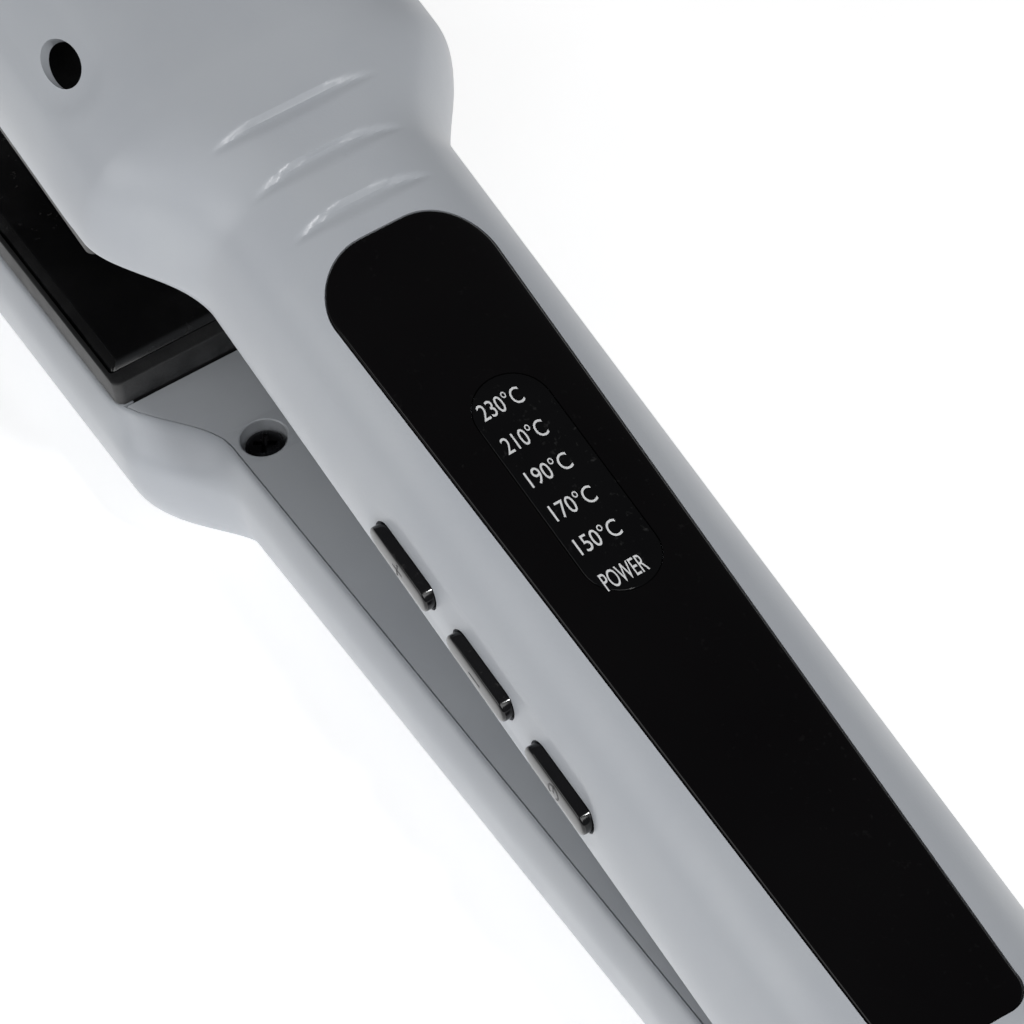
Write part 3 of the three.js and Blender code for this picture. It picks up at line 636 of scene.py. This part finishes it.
def button_place(number):
    x = first_button_x - number * button_pitch
    z = float(rim_z(x)) + button_depth_line
    lift = (button_depth_line - bulge_depth) / (crown_depth - bulge_depth)
    power = crown_power(x)
    share = (1 - lift**(2 / power))**(power / 2)
    return x, z, float(flat_half(x) + (side_half(x) - flat_half(x)) * share)


for number in range(3):
    x, z, skin_y = button_place(number)
    hole = side_prism("hole", capsule_outline(x, z, button_length, button_height, 0.28 * MM),
                      11 * MM, 25 * MM)
    hole.data.materials.append(shell_plastic)
    combine(upper_shell, hole, "DIFFERENCE")
finished(upper_shell, "upper", "upper_arm", ["upper_shell"],
         [shell_plastic, shell_inside_painted_shade], crease=30)

panel = draped("gloss_panel", panel_outline(0), panel_spine, 0.05 * MM, panel_thickness, 0.25 * MM)
pocket = draped("pocket", capsule_outline(window_x, 0, window_length, window_width, 0.1 * MM), window_spine,
                3 * MM, 8 * MM)
combine(panel, pocket, "DIFFERENCE")
finished(panel, "upper", "upper_arm", ["display_panel"], [gloss_black])
window = draped("lamp_window", capsule_outline(window_x, 0, window_length, window_width), window_spine,
                0.06 * MM, panel_thickness, 0.12 * MM)
finished(window, "upper", "upper_arm", ["display_window"], [smoked_window])

# ---------------------------------------------------------------------------------------------
# Printed labels
# White pad-printed temperatures beside the lamps, and the word for the mains lamp, on the window.
# The ink stands a few hundredths of a millimetre above the polished surface.
# ---------------------------------------------------------------------------------------------
label_rows = [("230°C", 84.4), ("210°C", 79.5), ("190°C", 74.6), ("170°C", 69.7),
              ("150°C", 64.8), ("POWER", 59.6)]
label_y = 0.9 * MM
label_height = 2.3 * MM
label_width = 5.3 * MM
label_ink = 0.03 * MM
white_ink = finish("white_ink", (0.78, 0.79, 0.80), (0.72, 0.73, 0.74), 0.45, 0.05, grain_scale=3000.0,
                   bump=0.1, bump_size=0.01, dust=0.0, wear=0.0)
for text, row_x in label_rows:
    curve = bpy.data.curves.new("lettering", "FONT")
    curve.body = text
    curve.resolution_u = 4
    holder = bpy.data.objects.new("lettering", curve)
    bpy.context.scene.collection.objects.link(holder)
    bpy.context.view_layer.update()
    flat = bpy.data.meshes.new_from_object(holder.evaluated_get(bpy.context.evaluated_depsgraph_get()))
    bpy.data.objects.remove(holder)
    corners = np.array([v.co for v in flat.vertices])
    low, high = corners.min(0), corners.max(0)
    digits_high = high[1]
    across = (corners[:, 0] - (low[0] + high[0]) / 2) * label_width / (high[0] - low[0])
    along = (corners[:, 1] / digits_high - 0.5) * label_height
    for vertex, u, v in zip(flat.vertices, across, along):
        x, y = row_x * MM + v, label_y - u
        vertex.co = (x, y, float(skin_z(x, y)) + 0.06 * MM + label_ink)
    name = "label_" + text.replace("°C", "").lower()
    label = bpy.data.objects.new(name, flat)
    bpy.context.scene.collection.objects.link(label)
    thick = label.modifiers.new("ink", "SOLIDIFY")
    thick.thickness = label_ink
    thick.offset = -1
    bpy.context.view_layer.update()
    label.data = bpy.data.meshes.new_from_object(label.evaluated_get(bpy.context.evaluated_depsgraph_get()))
    label.modifiers.clear()
    finished(label, "upper", "upper_arm", None, [white_ink])

# ---------------------------------------------------------------------------------------------
# Side buttons
# Three sprung push buttons: a glossy black stem with a pale satin face, marked plus, minus and
# with the standby sign. Each slides in its own oval hole in the upper shell.
# ---------------------------------------------------------------------------------------------
button_proud = 0.85 * MM
button_root = 4.2 * MM
button_black = finish("button_gloss", (0.006, 0.006, 0.007), (0.009, 0.009, 0.01), 0.12, 0.03,
                      grain_scale=900.0, bump=0.03, bump_size=0.01, dust=0.1, wear=0.2)
button_pale = finish("button_face", (0.55, 0.57, 0.59), (0.52, 0.54, 0.56), 0.32, 0.03, grain_scale=2600.0,
                     bump=0.15, bump_size=0.02, dust=0.1, wear=0.15)
mark_dark = finish("engraved_mark", (0.03, 0.03, 0.032), (0.05, 0.05, 0.052), 0.5, 0.05, dust=0.0, wear=0.0)


def make_button(name, number):
    x, z, skin_y = button_place(number)
    face_y = skin_y + button_proud
    back_y = skin_y - button_root
    layers = [(0.9 * MM, back_y), (0.9 * MM, back_y + 1 * MM),
              (0.0, back_y + 1 * MM), (0.0, face_y - 0.35 * MM)]
    layers += [(-0.35 * MM * (1 - math.cos(t)), face_y - 0.35 * MM * (1 - math.sin(t)))
               for t in np.radians((30, 60, 90))]
    layers += [(-0.8 * MM, face_y + 0.03 * MM), (-1.2 * MM, face_y + 0.05 * MM)]
    rings = []
    for spread, y in layers:
        rings.append([(px, y, pz) for px, pz in capsule_outline(x, z, button_length, button_height, spread)])
    button = ringed(name, rings)
    for polygon in button.data.polygons:
        polygon.material_index = int(polygon.center.y > face_y - 0.2 * MM)
    return button, x, z, face_y + 0.05 * MM


def raised_strip(name, points, width, y, thickness=0.06 * MM):
    """A thin flat line through (x, z) points on a button's face."""
    here = np.array(points)
    run = np.gradient(here, axis=0)
    run /= np.linalg.norm(run, axis=1)[:, None]
    normal = np.stack([-run[:, 1], run[:, 0]], 1) * width / 2
    rings = []
    for (px, pz), (nx, nz) in zip(here, normal):
        rings.append([(px + nx, y - thickness, pz + nz), (px + nx, y, pz + nz),
                      (px - nx, y, pz - nz), (px - nx, y - thickness, pz - nz)])
    return ringed(name, rings)


def arc(x, z, radius, start, end, steps=20):
    turns = np.radians(np.linspace(start, end, steps))
    return [(x + radius * math.cos(t), z + radius * math.sin(t)) for t in turns]


for number, name in enumerate(("plus", "minus", "power")):
    button, x, z, face_y = make_button(f"{name}_push", number)
    finished(button, "upper", f"{name}_button", [f"{name}_button"], [button_black, button_pale])
    mark_y = face_y + 0.02 * MM
    bars = {
        "plus": [[(x - 0.95 * MM, z), (x + 0.95 * MM, z)], [(x, z - 0.95 * MM), (x, z + 0.95 * MM)]],
        "minus": [[(x - 1.1 * MM, z), (x + 1.1 * MM, z)]],
        "power": [arc(x, z, 0.95 * MM, -50, 230), [(x, z - 0.1 * MM), (x, z + 1.2 * MM)]],
    }[name]
    for count, bar_points in enumerate(bars):
        mark = raised_strip(f"{name}_mark_{count}", bar_points, 0.28 * MM, mark_y)
        finished(mark, "upper", f"{name}_button", None, [mark_dark])

# ---------------------------------------------------------------------------------------------
# Inner covers
# Flat moulded covers close each handle on its inner side. Each has two screw wells, a cup for
# the opening spring and the barrels that turn on the hinge pin.
# ---------------------------------------------------------------------------------------------
cover_rear_x = 9 * MM
screw_x = 125.4 * MM
screw_y = 10.7 * MM
well_radius = 2.95 * MM
well_depth = 3.4 * MM
boss_radius = 3.75 * MM
barrel_radius = 5.2 * MM
pin_radius = 2 * MM
barrel_web = 4 * MM
spring_x = 19 * MM
spring_cup_radius = 4.55 * MM
spring_cup_depth = 4.6 * MM
cover_plastic = finish("cover_plastic", (0.47, 0.49, 0.515), (0.445, 0.465, 0.495), 0.42, 0.03,
                       grain_scale=2200.0, bump=0.3, bump_size=0.02, dust=0.03, wear=0.2)


def slab(name, low, high):
    (x0, y0, z0), (x1, y1, z1) = low, high
    outline = [(y0, z0), (y1, z0), (y1, z1), (y0, z1)]
    return ringed(name, [[(x, y, z) for y, z in outline] for x in (x0, x1)])


def make_cover(name, barrels):
    cover = rim_strip(name, cover_rear_x, carrier_rear_x - 0.25 * MM, rim_lip + 0.14 * MM, 0, cover_thickness,
                      1 * MM, 0.25 * MM)
    rim = float(rim_z(screw_x))
    cup = float(rim_z(spring_x))
    for side in (-1, 1):
        y = side * screw_y
        boss = round_bar("boss", (screw_x, y, rim + 0.4 * MM), (screw_x, y, rim + 5 * MM), boss_radius)
        combine(cover, boss, "UNION")
    cup_wall = round_bar("cup", (spring_x, 0, cup + 0.3 * MM), (spring_x, 0, cup + 5.8 * MM), 5.75 * MM)
    combine(cover, cup_wall, "UNION")
    cup_end = (spring_x, 0, cup + spring_cup_depth)
    combine(cover, round_bar("cup_hole", (spring_x, 0, cup - MM), cup_end, spring_cup_radius), "DIFFERENCE")
    for side in (-1, 1):
        y = side * screw_y
        well_end = (screw_x, y, rim + well_depth)
        combine(cover, round_bar("well", (screw_x, y, rim - MM), well_end, well_radius), "DIFFERENCE")
        funnel = ringed("funnel", [
            [(screw_x + r * math.cos(a), y + r * math.sin(a), h)
             for a in np.linspace(0, 2 * math.pi, 48, endpoint=False)]
            for r, h in ((well_radius + 0.5 * MM, rim - 0.3 * MM), (well_radius - 0.1 * MM, rim + 0.3 * MM))])
        combine(cover, funnel, "DIFFERENCE")
    web_low = float(rim_z(cover_rear_x))
    for y0, y1 in barrels:
        web = slab("web", (0, y0, web_low), (cover_rear_x + 2 * MM, y1, web_low + barrel_web))
        combine(cover, web, "UNION")
        combine(cover, round_bar("barrel", (0, y0, 0), (0, y1, 0), barrel_radius, 64), "UNION")
    bore = round_bar("bore", (0, -20 * MM, 0), (0, 20 * MM, 0), pin_radius + 0.1 * MM, 48)
    return combine(cover, bore, "DIFFERENCE")


centre_half = 7 * MM
ear_inner = 7.3 * MM
ear_outer = 12.3 * MM
barrel_sets = {"upper": [(-centre_half, centre_half)],
               "lower": [(-ear_outer, -ear_inner), (ear_inner, ear_outer)]}
for arm, barrels in barrel_sets.items():
    cover = make_cover(f"{arm}_cover", barrels)
    finished(cover, arm, f"{arm}_arm", [f"{arm}_inner_cover"], [cover_plastic], crease=30)

# ---------------------------------------------------------------------------------------------
# Cover screws
# Blackened pan-head screws with a cross recess, sunk in the wells of the inner covers.
# ---------------------------------------------------------------------------------------------
screw_black = finish("blackened_steel", (0.012, 0.012, 0.013), (0.02, 0.02, 0.022), 0.28, 0.06,
                     grain_scale=1500.0, mottle_scale=400.0, bump=0.1, bump_size=0.02,
                     dust=0.1, wear=0.6, worn=(0.2, 0.2, 0.21), Metallic=1.0)
screw_head_radius = 2.5 * MM
screw_seat = well_depth - 0.3 * MM
screw_head_height = 1.7 * MM


def turned_rings(profile, x, y, sides=48):
    turns = np.linspace(0, 2 * math.pi, sides, endpoint=False)
    return [[(x + r * math.cos(a), y + r * math.sin(a), z) for a in turns] for r, z in profile]


for arm in ("upper", "lower"):
    for side, label in ((1, "left"), (-1, "right")):
        seat = float(rim_z(screw_x)) + screw_seat
        top = seat - screw_head_height
        profile = [(0.02 * MM, top - 0.4 * MM)]
        for t in np.radians((20, 40, 60, 80)):
            profile.append((screw_head_radius * math.sin(t), top + 0.35 * MM - 0.75 * MM * math.cos(t)))
        profile += [(screw_head_radius, top + 0.6 * MM), (screw_head_radius, seat), (1.2 * MM, seat),
                    (1.2 * MM, seat + 7.5 * MM), (0.3 * MM, seat + 8 * MM)]
        screw = ringed(f"{arm}_screw_{label}", turned_rings(profile, screw_x, side * screw_y))
        for turn in (0.6, 0.6 + math.pi / 2):
            reach = Vector((math.cos(turn), math.sin(turn), 0)) * 1.5 * MM
            across = Vector((-math.sin(turn), math.cos(turn), 0)) * 0.32 * MM
            centre = Vector((screw_x, side * screw_y, 0))
            outline = [centre - reach - across, centre + reach - across, centre + reach + across,
                       centre - reach + across]
            deep = [centre + (p - centre) * 0.45 for p in outline]
            slot_cut = ringed("slot_cut", [[(p.x, p.y, top - MM) for p in outline],
                                           [(p.x, p.y, top - 0.1 * MM) for p in outline],
                                           [(p.x, p.y, top + 1.0 * MM) for p in deep]])
            combine(screw, slot_cut, "DIFFERENCE")
        finished(screw, arm, f"{arm}_arm", [f"{arm}_cover_screw_{label}"], [screw_black], crease=30)

# ---------------------------------------------------------------------------------------------
# Plate carriers
# Black heat-resistant trays with a spark-eroded texture. They close the head's mouth, stand
# proud of it to the plate's height and hold the plate in a shallow pocket.
# ---------------------------------------------------------------------------------------------
carrier_edge = head_rim_half - 0.3 * MM
carrier_lip_z = 0.6 * MM
carrier_far_z = head_rim_gap - 0.3 * MM
carrier_floor_z = 11 * MM
plate_rear_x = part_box("lower_heating_plate")[0].x - pin.x
plate_front_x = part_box("lower_heating_plate")[1].x - pin.x
plate_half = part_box("lower_heating_plate")[1].y
plate_gap = 0.45 * MM
skirt_half = head_rim_half - wall - 0.3 * MM
carrier_black = finish("carrier_black", (0.016, 0.016, 0.017), (0.026, 0.026, 0.027), 0.5, 0.06,
                       grain_scale=2300.0, mottle_scale=160.0, bump=0.9, bump_size=0.05, dust=0.3, wear=0.5,
                       dust_colour=(0.25, 0.25, 0.25), worn=(0.11, 0.11, 0.112))


def plan_outline(x0, x1, half, rear_radius, front_radius, steps=8):
    points = []
    for cx, cy, radius, start in ((x1, half, front_radius, 0), (x0, half, rear_radius, 90),
                                  (x0, -half, rear_radius, 180), (x1, -half, front_radius, 270)):
        px = cx - radius if cx == x1 else cx + radius
        py = cy - radius if cy > 0 else cy + radius
        for t in np.radians(np.linspace(start, start + 90, steps)):
            points.append((px + radius * math.cos(t), py + radius * math.sin(t)))
    return points


def tray_block(name, outline_at, z0, z1, soft0=0.0, soft1=0.0, steps=4):
    """A level block with softened lower and upper corners. outline_at gives its outline inset."""
    layers = []
    for t in np.linspace(0, math.pi / 2, steps if soft0 else 1):
        layers.append((soft0 * (1 - math.sin(t)), z0 + soft0 * (1 - math.cos(t))))
    for t in np.linspace(math.pi / 2, 0, steps if soft1 else 1):
        layers.append((soft1 * (1 - math.sin(t)), z1 - soft1 * (1 - math.cos(t))))
    return ringed(name, [[(x, y, z) for x, y in outline_at(inset)] for inset, z in layers])


def make_carrier(name):
    tip = tip_x - 0.3 * MM
    flange = tray_block(name, lambda inset: plan_outline(
        carrier_rear_x + inset, tip - inset, carrier_edge - inset, 1.2 * MM, end_plan_radius, 10),
        carrier_lip_z, carrier_far_z, 0.3 * MM)
    skirt = tray_block("skirt", lambda inset: plan_outline(
        carrier_rear_x + 0.6 * MM + inset, tip_x - wall - 4.5 * MM - inset,
        skirt_half - inset, 0.8 * MM, 5 * MM),
        carrier_far_z - 0.2 * MM, carrier_floor_z)
    pocket = tray_block("pocket", lambda inset: plan_outline(
        plate_rear_x - plate_gap, plate_front_x + plate_gap, plate_half + plate_gap, plate_gap, plate_gap),
        -MM, carrier_far_z - 0.8 * MM)
    hollow = tray_block("hollow", lambda inset: plan_outline(
        plate_rear_x + 1.6 * MM, plate_front_x - 3.6 * MM, skirt_half - 1.6 * MM, MM, 3 * MM),
        -MM, carrier_floor_z - 1.5 * MM)
    combine(flange, skirt, "UNION")
    combine(flange, pocket, "DIFFERENCE")
    return combine(flange, hollow, "DIFFERENCE")


for arm in ("upper", "lower"):
    carrier = make_carrier(f"{arm}_carrier")
    finished(carrier, arm, f"{arm}_arm", [f"{arm}_plate_carrier"], [carrier_black], crease=30)

# ---------------------------------------------------------------------------------------------
# Heating plates
# Aluminium plates with a hard black ceramic coating, bevelled all round so that hair slides
# over the edge. Each floats on two springs in its carrier.
# ---------------------------------------------------------------------------------------------
plate_face_z = 0.15 * MM
plate_thickness = 2.2 * MM
plate_bevel = 1.0 * MM
plate_bevel_drop = 0.7 * MM
plate_coating = finish("black_plate_coating", (0.006, 0.006, 0.0065), (0.009, 0.009, 0.0095), 0.2, 0.03,
                       grain_scale=1800.0, mottle_scale=90.0, bump=0.06, bump_size=0.01, dust=0.1, wear=0.3,
                       worn=(0.06, 0.06, 0.062), Specular_IOR_Level=0.45)
for arm in ("upper", "lower"):
    layers = [(plate_bevel + 0.15 * MM, 0), (plate_bevel - 0.1 * MM, 0.06 * MM),
              (0.15 * MM, plate_bevel_drop - 0.08 * MM), (0, plate_bevel_drop + 0.1 * MM),
              (0, plate_thickness)]
    rings = []
    for inset, z in layers:
        outline = plan_outline(plate_rear_x + inset, plate_front_x - inset, plate_half - inset,
                               0.4 * MM, 0.4 * MM, 4)
        rings.append([(x, y, plate_face_z + z) for x, y in outline])
    plate = ringed(f"{arm}_plate", rings)
    finished(plate, arm, f"{arm}_plate", [f"{arm}_heating_plate"], [plate_coating], crease=25)

# ---------------------------------------------------------------------------------------------
# Hinge pin and opening spring
# A drawn steel pin through the barrels, and a steel coil in the two cups that pushes the arms apart.
# ---------------------------------------------------------------------------------------------
drawn_steel = finish("drawn_steel", (0.42, 0.42, 0.43), (0.36, 0.36, 0.37), 0.28, 0.06, grain_scale=1200.0,
                     mottle_scale=500.0, bump=0.15, bump_size=0.02, dust=0.1, wear=0.3, Metallic=1.0)
pin_low, pin_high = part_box("hinge_pin")
pin_chamfer = 0.35 * MM
pin_ends = [(pin_chamfer, pin_low.y), (0, pin_low.y + pin_chamfer),
            (0, pin_high.y - pin_chamfer), (pin_chamfer, pin_high.y)]
pin_rings = [[(pin.x + (pin_radius - inset) * math.cos(a), y, pin.z + (pin_radius - inset) * math.sin(a))
              for a in np.linspace(0, 2 * math.pi, 48, endpoint=False)] for inset, y in pin_ends]
finished(ringed("steel_pin", pin_rings), None, "lower_arm", ["hinge_pin"], [drawn_steel])


def coil_spring(name, low, high, wire, turns, sides=10, steps_per_turn=28):
    """A coil that fills the box from low to high, drawn as wire of that radius."""
    centre = (low + high) / 2
    radius = (high.x - low.x) / 2 - wire
    rings = []
    for t in np.linspace(0, 1, int(turns * steps_per_turn) + 1):
        angle = t * turns * 2 * math.pi
        height = low.z + wire + t * (high.z - low.z - 2 * wire)
        out = Vector((math.cos(angle), math.sin(angle), 0))
        middle = Vector((centre.x, centre.y, height)) + out * radius
        rings.append([middle + (out * math.cos(a) + Vector((0, 0, 1)) * math.sin(a)) * wire
                      for a in np.linspace(0, 2 * math.pi, sides, endpoint=False)])
    return ringed(name, rings)


spring_low, spring_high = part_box("hinge_spring")
opening_spring = coil_spring("opening_spring", spring_low, spring_high, 0.45 * MM, 5)
finished(opening_spring, None, "lower_arm", ["hinge_spring"], [drawn_steel])
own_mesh(opening_spring)

# ---------------------------------------------------------------------------------------------
# Cord swivel
# A soft black outlet that turns in the lower arm's rear wall, so that the cord doesn't twist.
# Its tail is ringed with flexing grooves, drawn straight.
# ---------------------------------------------------------------------------------------------
swivel_rubber = finish("swivel_rubber", (0.014, 0.014, 0.015), (0.02, 0.02, 0.021), 0.55, 0.06,
                       grain_scale=1800.0, bump=0.4, bump_size=0.04,
                       dust=0.4, wear=0.3, dust_colour=(0.2, 0.2, 0.2))
swivel_tail = swivel_low.x - pin.x
swivel_inner = swivel_high.x - pin.x
collar_face = rear_x - 0.3 * MM
swivel_profile = [(3.1, swivel_inner), (5.4, swivel_inner), (5.6, swivel_inner - 0.2 * MM),
                  (5.6, swivel_inner - 1.4 * MM), (4.4, swivel_inner - 1.5 * MM),
                  (4.4, collar_face), (5.7, collar_face), (6.0, collar_face - 0.3 * MM),
                  (6.0, collar_face - 2.7 * MM), (5.75, collar_face - 3.0 * MM)]
tail_start = collar_face - 3.0 * MM
groove_count = 4
groove_pitch = (tail_start - swivel_tail - 1.6 * MM) / groove_count
for number in range(groove_count):
    start = tail_start - 0.3 * MM - number * groove_pitch
    wide = 5.6 - 0.28 * number
    swivel_profile += [(wide, start), (wide - 0.6, start - 0.35 * MM), (wide - 0.6, start - 1.0 * MM),
                       (wide - 0.1, start - 1.35 * MM)]
swivel_profile += [(4.4, swivel_tail + 0.3 * MM), (4.1, swivel_tail),
                   (3.3, swivel_tail), (3.1, swivel_tail + 0.2 * MM)]
swivel_turns = np.linspace(0, 2 * math.pi, 64, endpoint=False)
swivel_rings = [[(x, r * MM * math.cos(a), swivel_z + r * MM * math.sin(a)) for a in swivel_turns]
                for r, x in swivel_profile]
swivel = ringed("cord_outlet", swivel_rings + [swivel_rings[0]], capped=False)
weld = swivel.modifiers.new("weld", "WELD")
weld.merge_threshold = 0.001 * MM
bpy.context.view_layer.update()
swivel.data = bpy.data.meshes.new_from_object(swivel.evaluated_get(bpy.context.evaluated_depsgraph_get()))
swivel.modifiers.clear()
face_outwards(swivel)
finished(swivel, "lower", "cord_swivel", ["cord_swivel"], [swivel_rubber], crease=30)

# ---------------------------------------------------------------------------------------------
# Inner pieces
# Heaters, clamps, fuses, springs, boards, lamps and switches keep their own solids and get
# the finish of what they are made of.
# ---------------------------------------------------------------------------------------------
heater_ceramic = finish("heater_ceramic", (0.62, 0.58, 0.50), (0.55, 0.51, 0.44), 0.7, 0.06,
                        mottle_scale=200.0, bump=0.3, dust=0.0)
board_green = finish("board_green", (0.02, 0.10, 0.05), (0.015, 0.08, 0.04), 0.4, 0.05,
                     mottle_scale=500.0, dust=0.1)
lamp_clear = finish("lamp_lens", (0.6, 0.62, 0.64), (0.55, 0.57, 0.59), 0.2, 0.04, dust=0.0)
switch_black = finish("switch_black", (0.02, 0.02, 0.021), (0.03, 0.03, 0.031), 0.5, 0.05, dust=0.1)
node_finishes = [("_heater", heater_ceramic), ("_clamp", drawn_steel), ("_fuse", drawn_steel),
                 ("_spring_front", drawn_steel), ("_spring_rear", drawn_steel), ("_board", board_green),
                 ("_switch", switch_black)]
for name, node in frame["nodes"].items():
    if node.hide_render:
        continue
    material = lamp_clear if name.startswith("led_") else None
    for ending, candidate in node_finishes:
        if name.endswith(ending):
            material = candidate
    node.data.materials.clear()
    node.data.materials.append(material)

# ---------------------------------------------------------------------------------------------
# Floor, light and camera
# A plain white table in a dim pale room, under a small bright softbox above the hinge end, a wide
# fill beside it and a wide softbox along the button side. The table glows a little, to stay white.
# ---------------------------------------------------------------------------------------------
floor_half = 3.0
floor = mesh_piece("table_top", [(-floor_half, -floor_half, 0), (floor_half, -floor_half, 0),
                                 (floor_half, floor_half, 0), (-floor_half, floor_half, 0)], [(0, 1, 2, 3)])
floor.location.z = -0.0002
floor_white = finish("table_white", (0.9, 0.9, 0.9), (0.88, 0.88, 0.88), 0.7, 0.03,
                     bump=0.02, dust=0.0, wear=0.0, Emission_Color=(1, 1, 1, 1), Emission_Strength=0.54)
floor.data.materials.append(floor_white)

middle = Vector(((cad_low.x + cad_high.x) / 2, 0, 0.04))


def area_light(name, direction, distance, size, power):
    data = bpy.data.lights.new(name, "AREA")
    data.shape = "DISK"
    data.size = size
    data.energy = power
    lamp = bpy.data.objects.new(name, data)
    bpy.context.scene.collection.objects.link(lamp)
    lamp.location = middle + Vector(direction).normalized() * distance
    lamp.rotation_mode = "QUATERNION"
    lamp.rotation_quaternion = (lamp.location - middle).to_track_quat("Z", "Y")
    return lamp


area_light("key_softbox", (-0.5, -0.1, 1.0), 1.2, 0.12, 4.9)
area_light("fill_softbox", (-0.8, 0.3, 0.9), 1.2, 0.7, 3.8)
area_light("side_softbox", (0.1, 1.0, 0.5), 1.2, 0.7, 2.4)

world = bpy.data.worlds.new("pale_room")
bpy.context.scene.world = world
world.use_nodes = True
world.node_tree.nodes["Background"].inputs["Color"].default_value = (1, 1, 1, 1)
world.node_tree.nodes["Background"].inputs["Strength"].default_value = 0.07
bpy.context.scene.view_settings.view_transform = "Standard"

camera_data = bpy.data.cameras.new("camera")
camera_data.lens = 160.3
camera_data.clip_start = 0.01
camera_data.clip_end = 20
camera = bpy.data.objects.new("camera", camera_data)
bpy.context.scene.collection.objects.link(camera)
camera.location = pin + Vector((-0.2173, 0.1442, 0.4111))
camera.rotation_euler = Euler([math.radians(a) for a in (39.81, 5.12, -121.86)])
bpy.context.scene.camera = camera
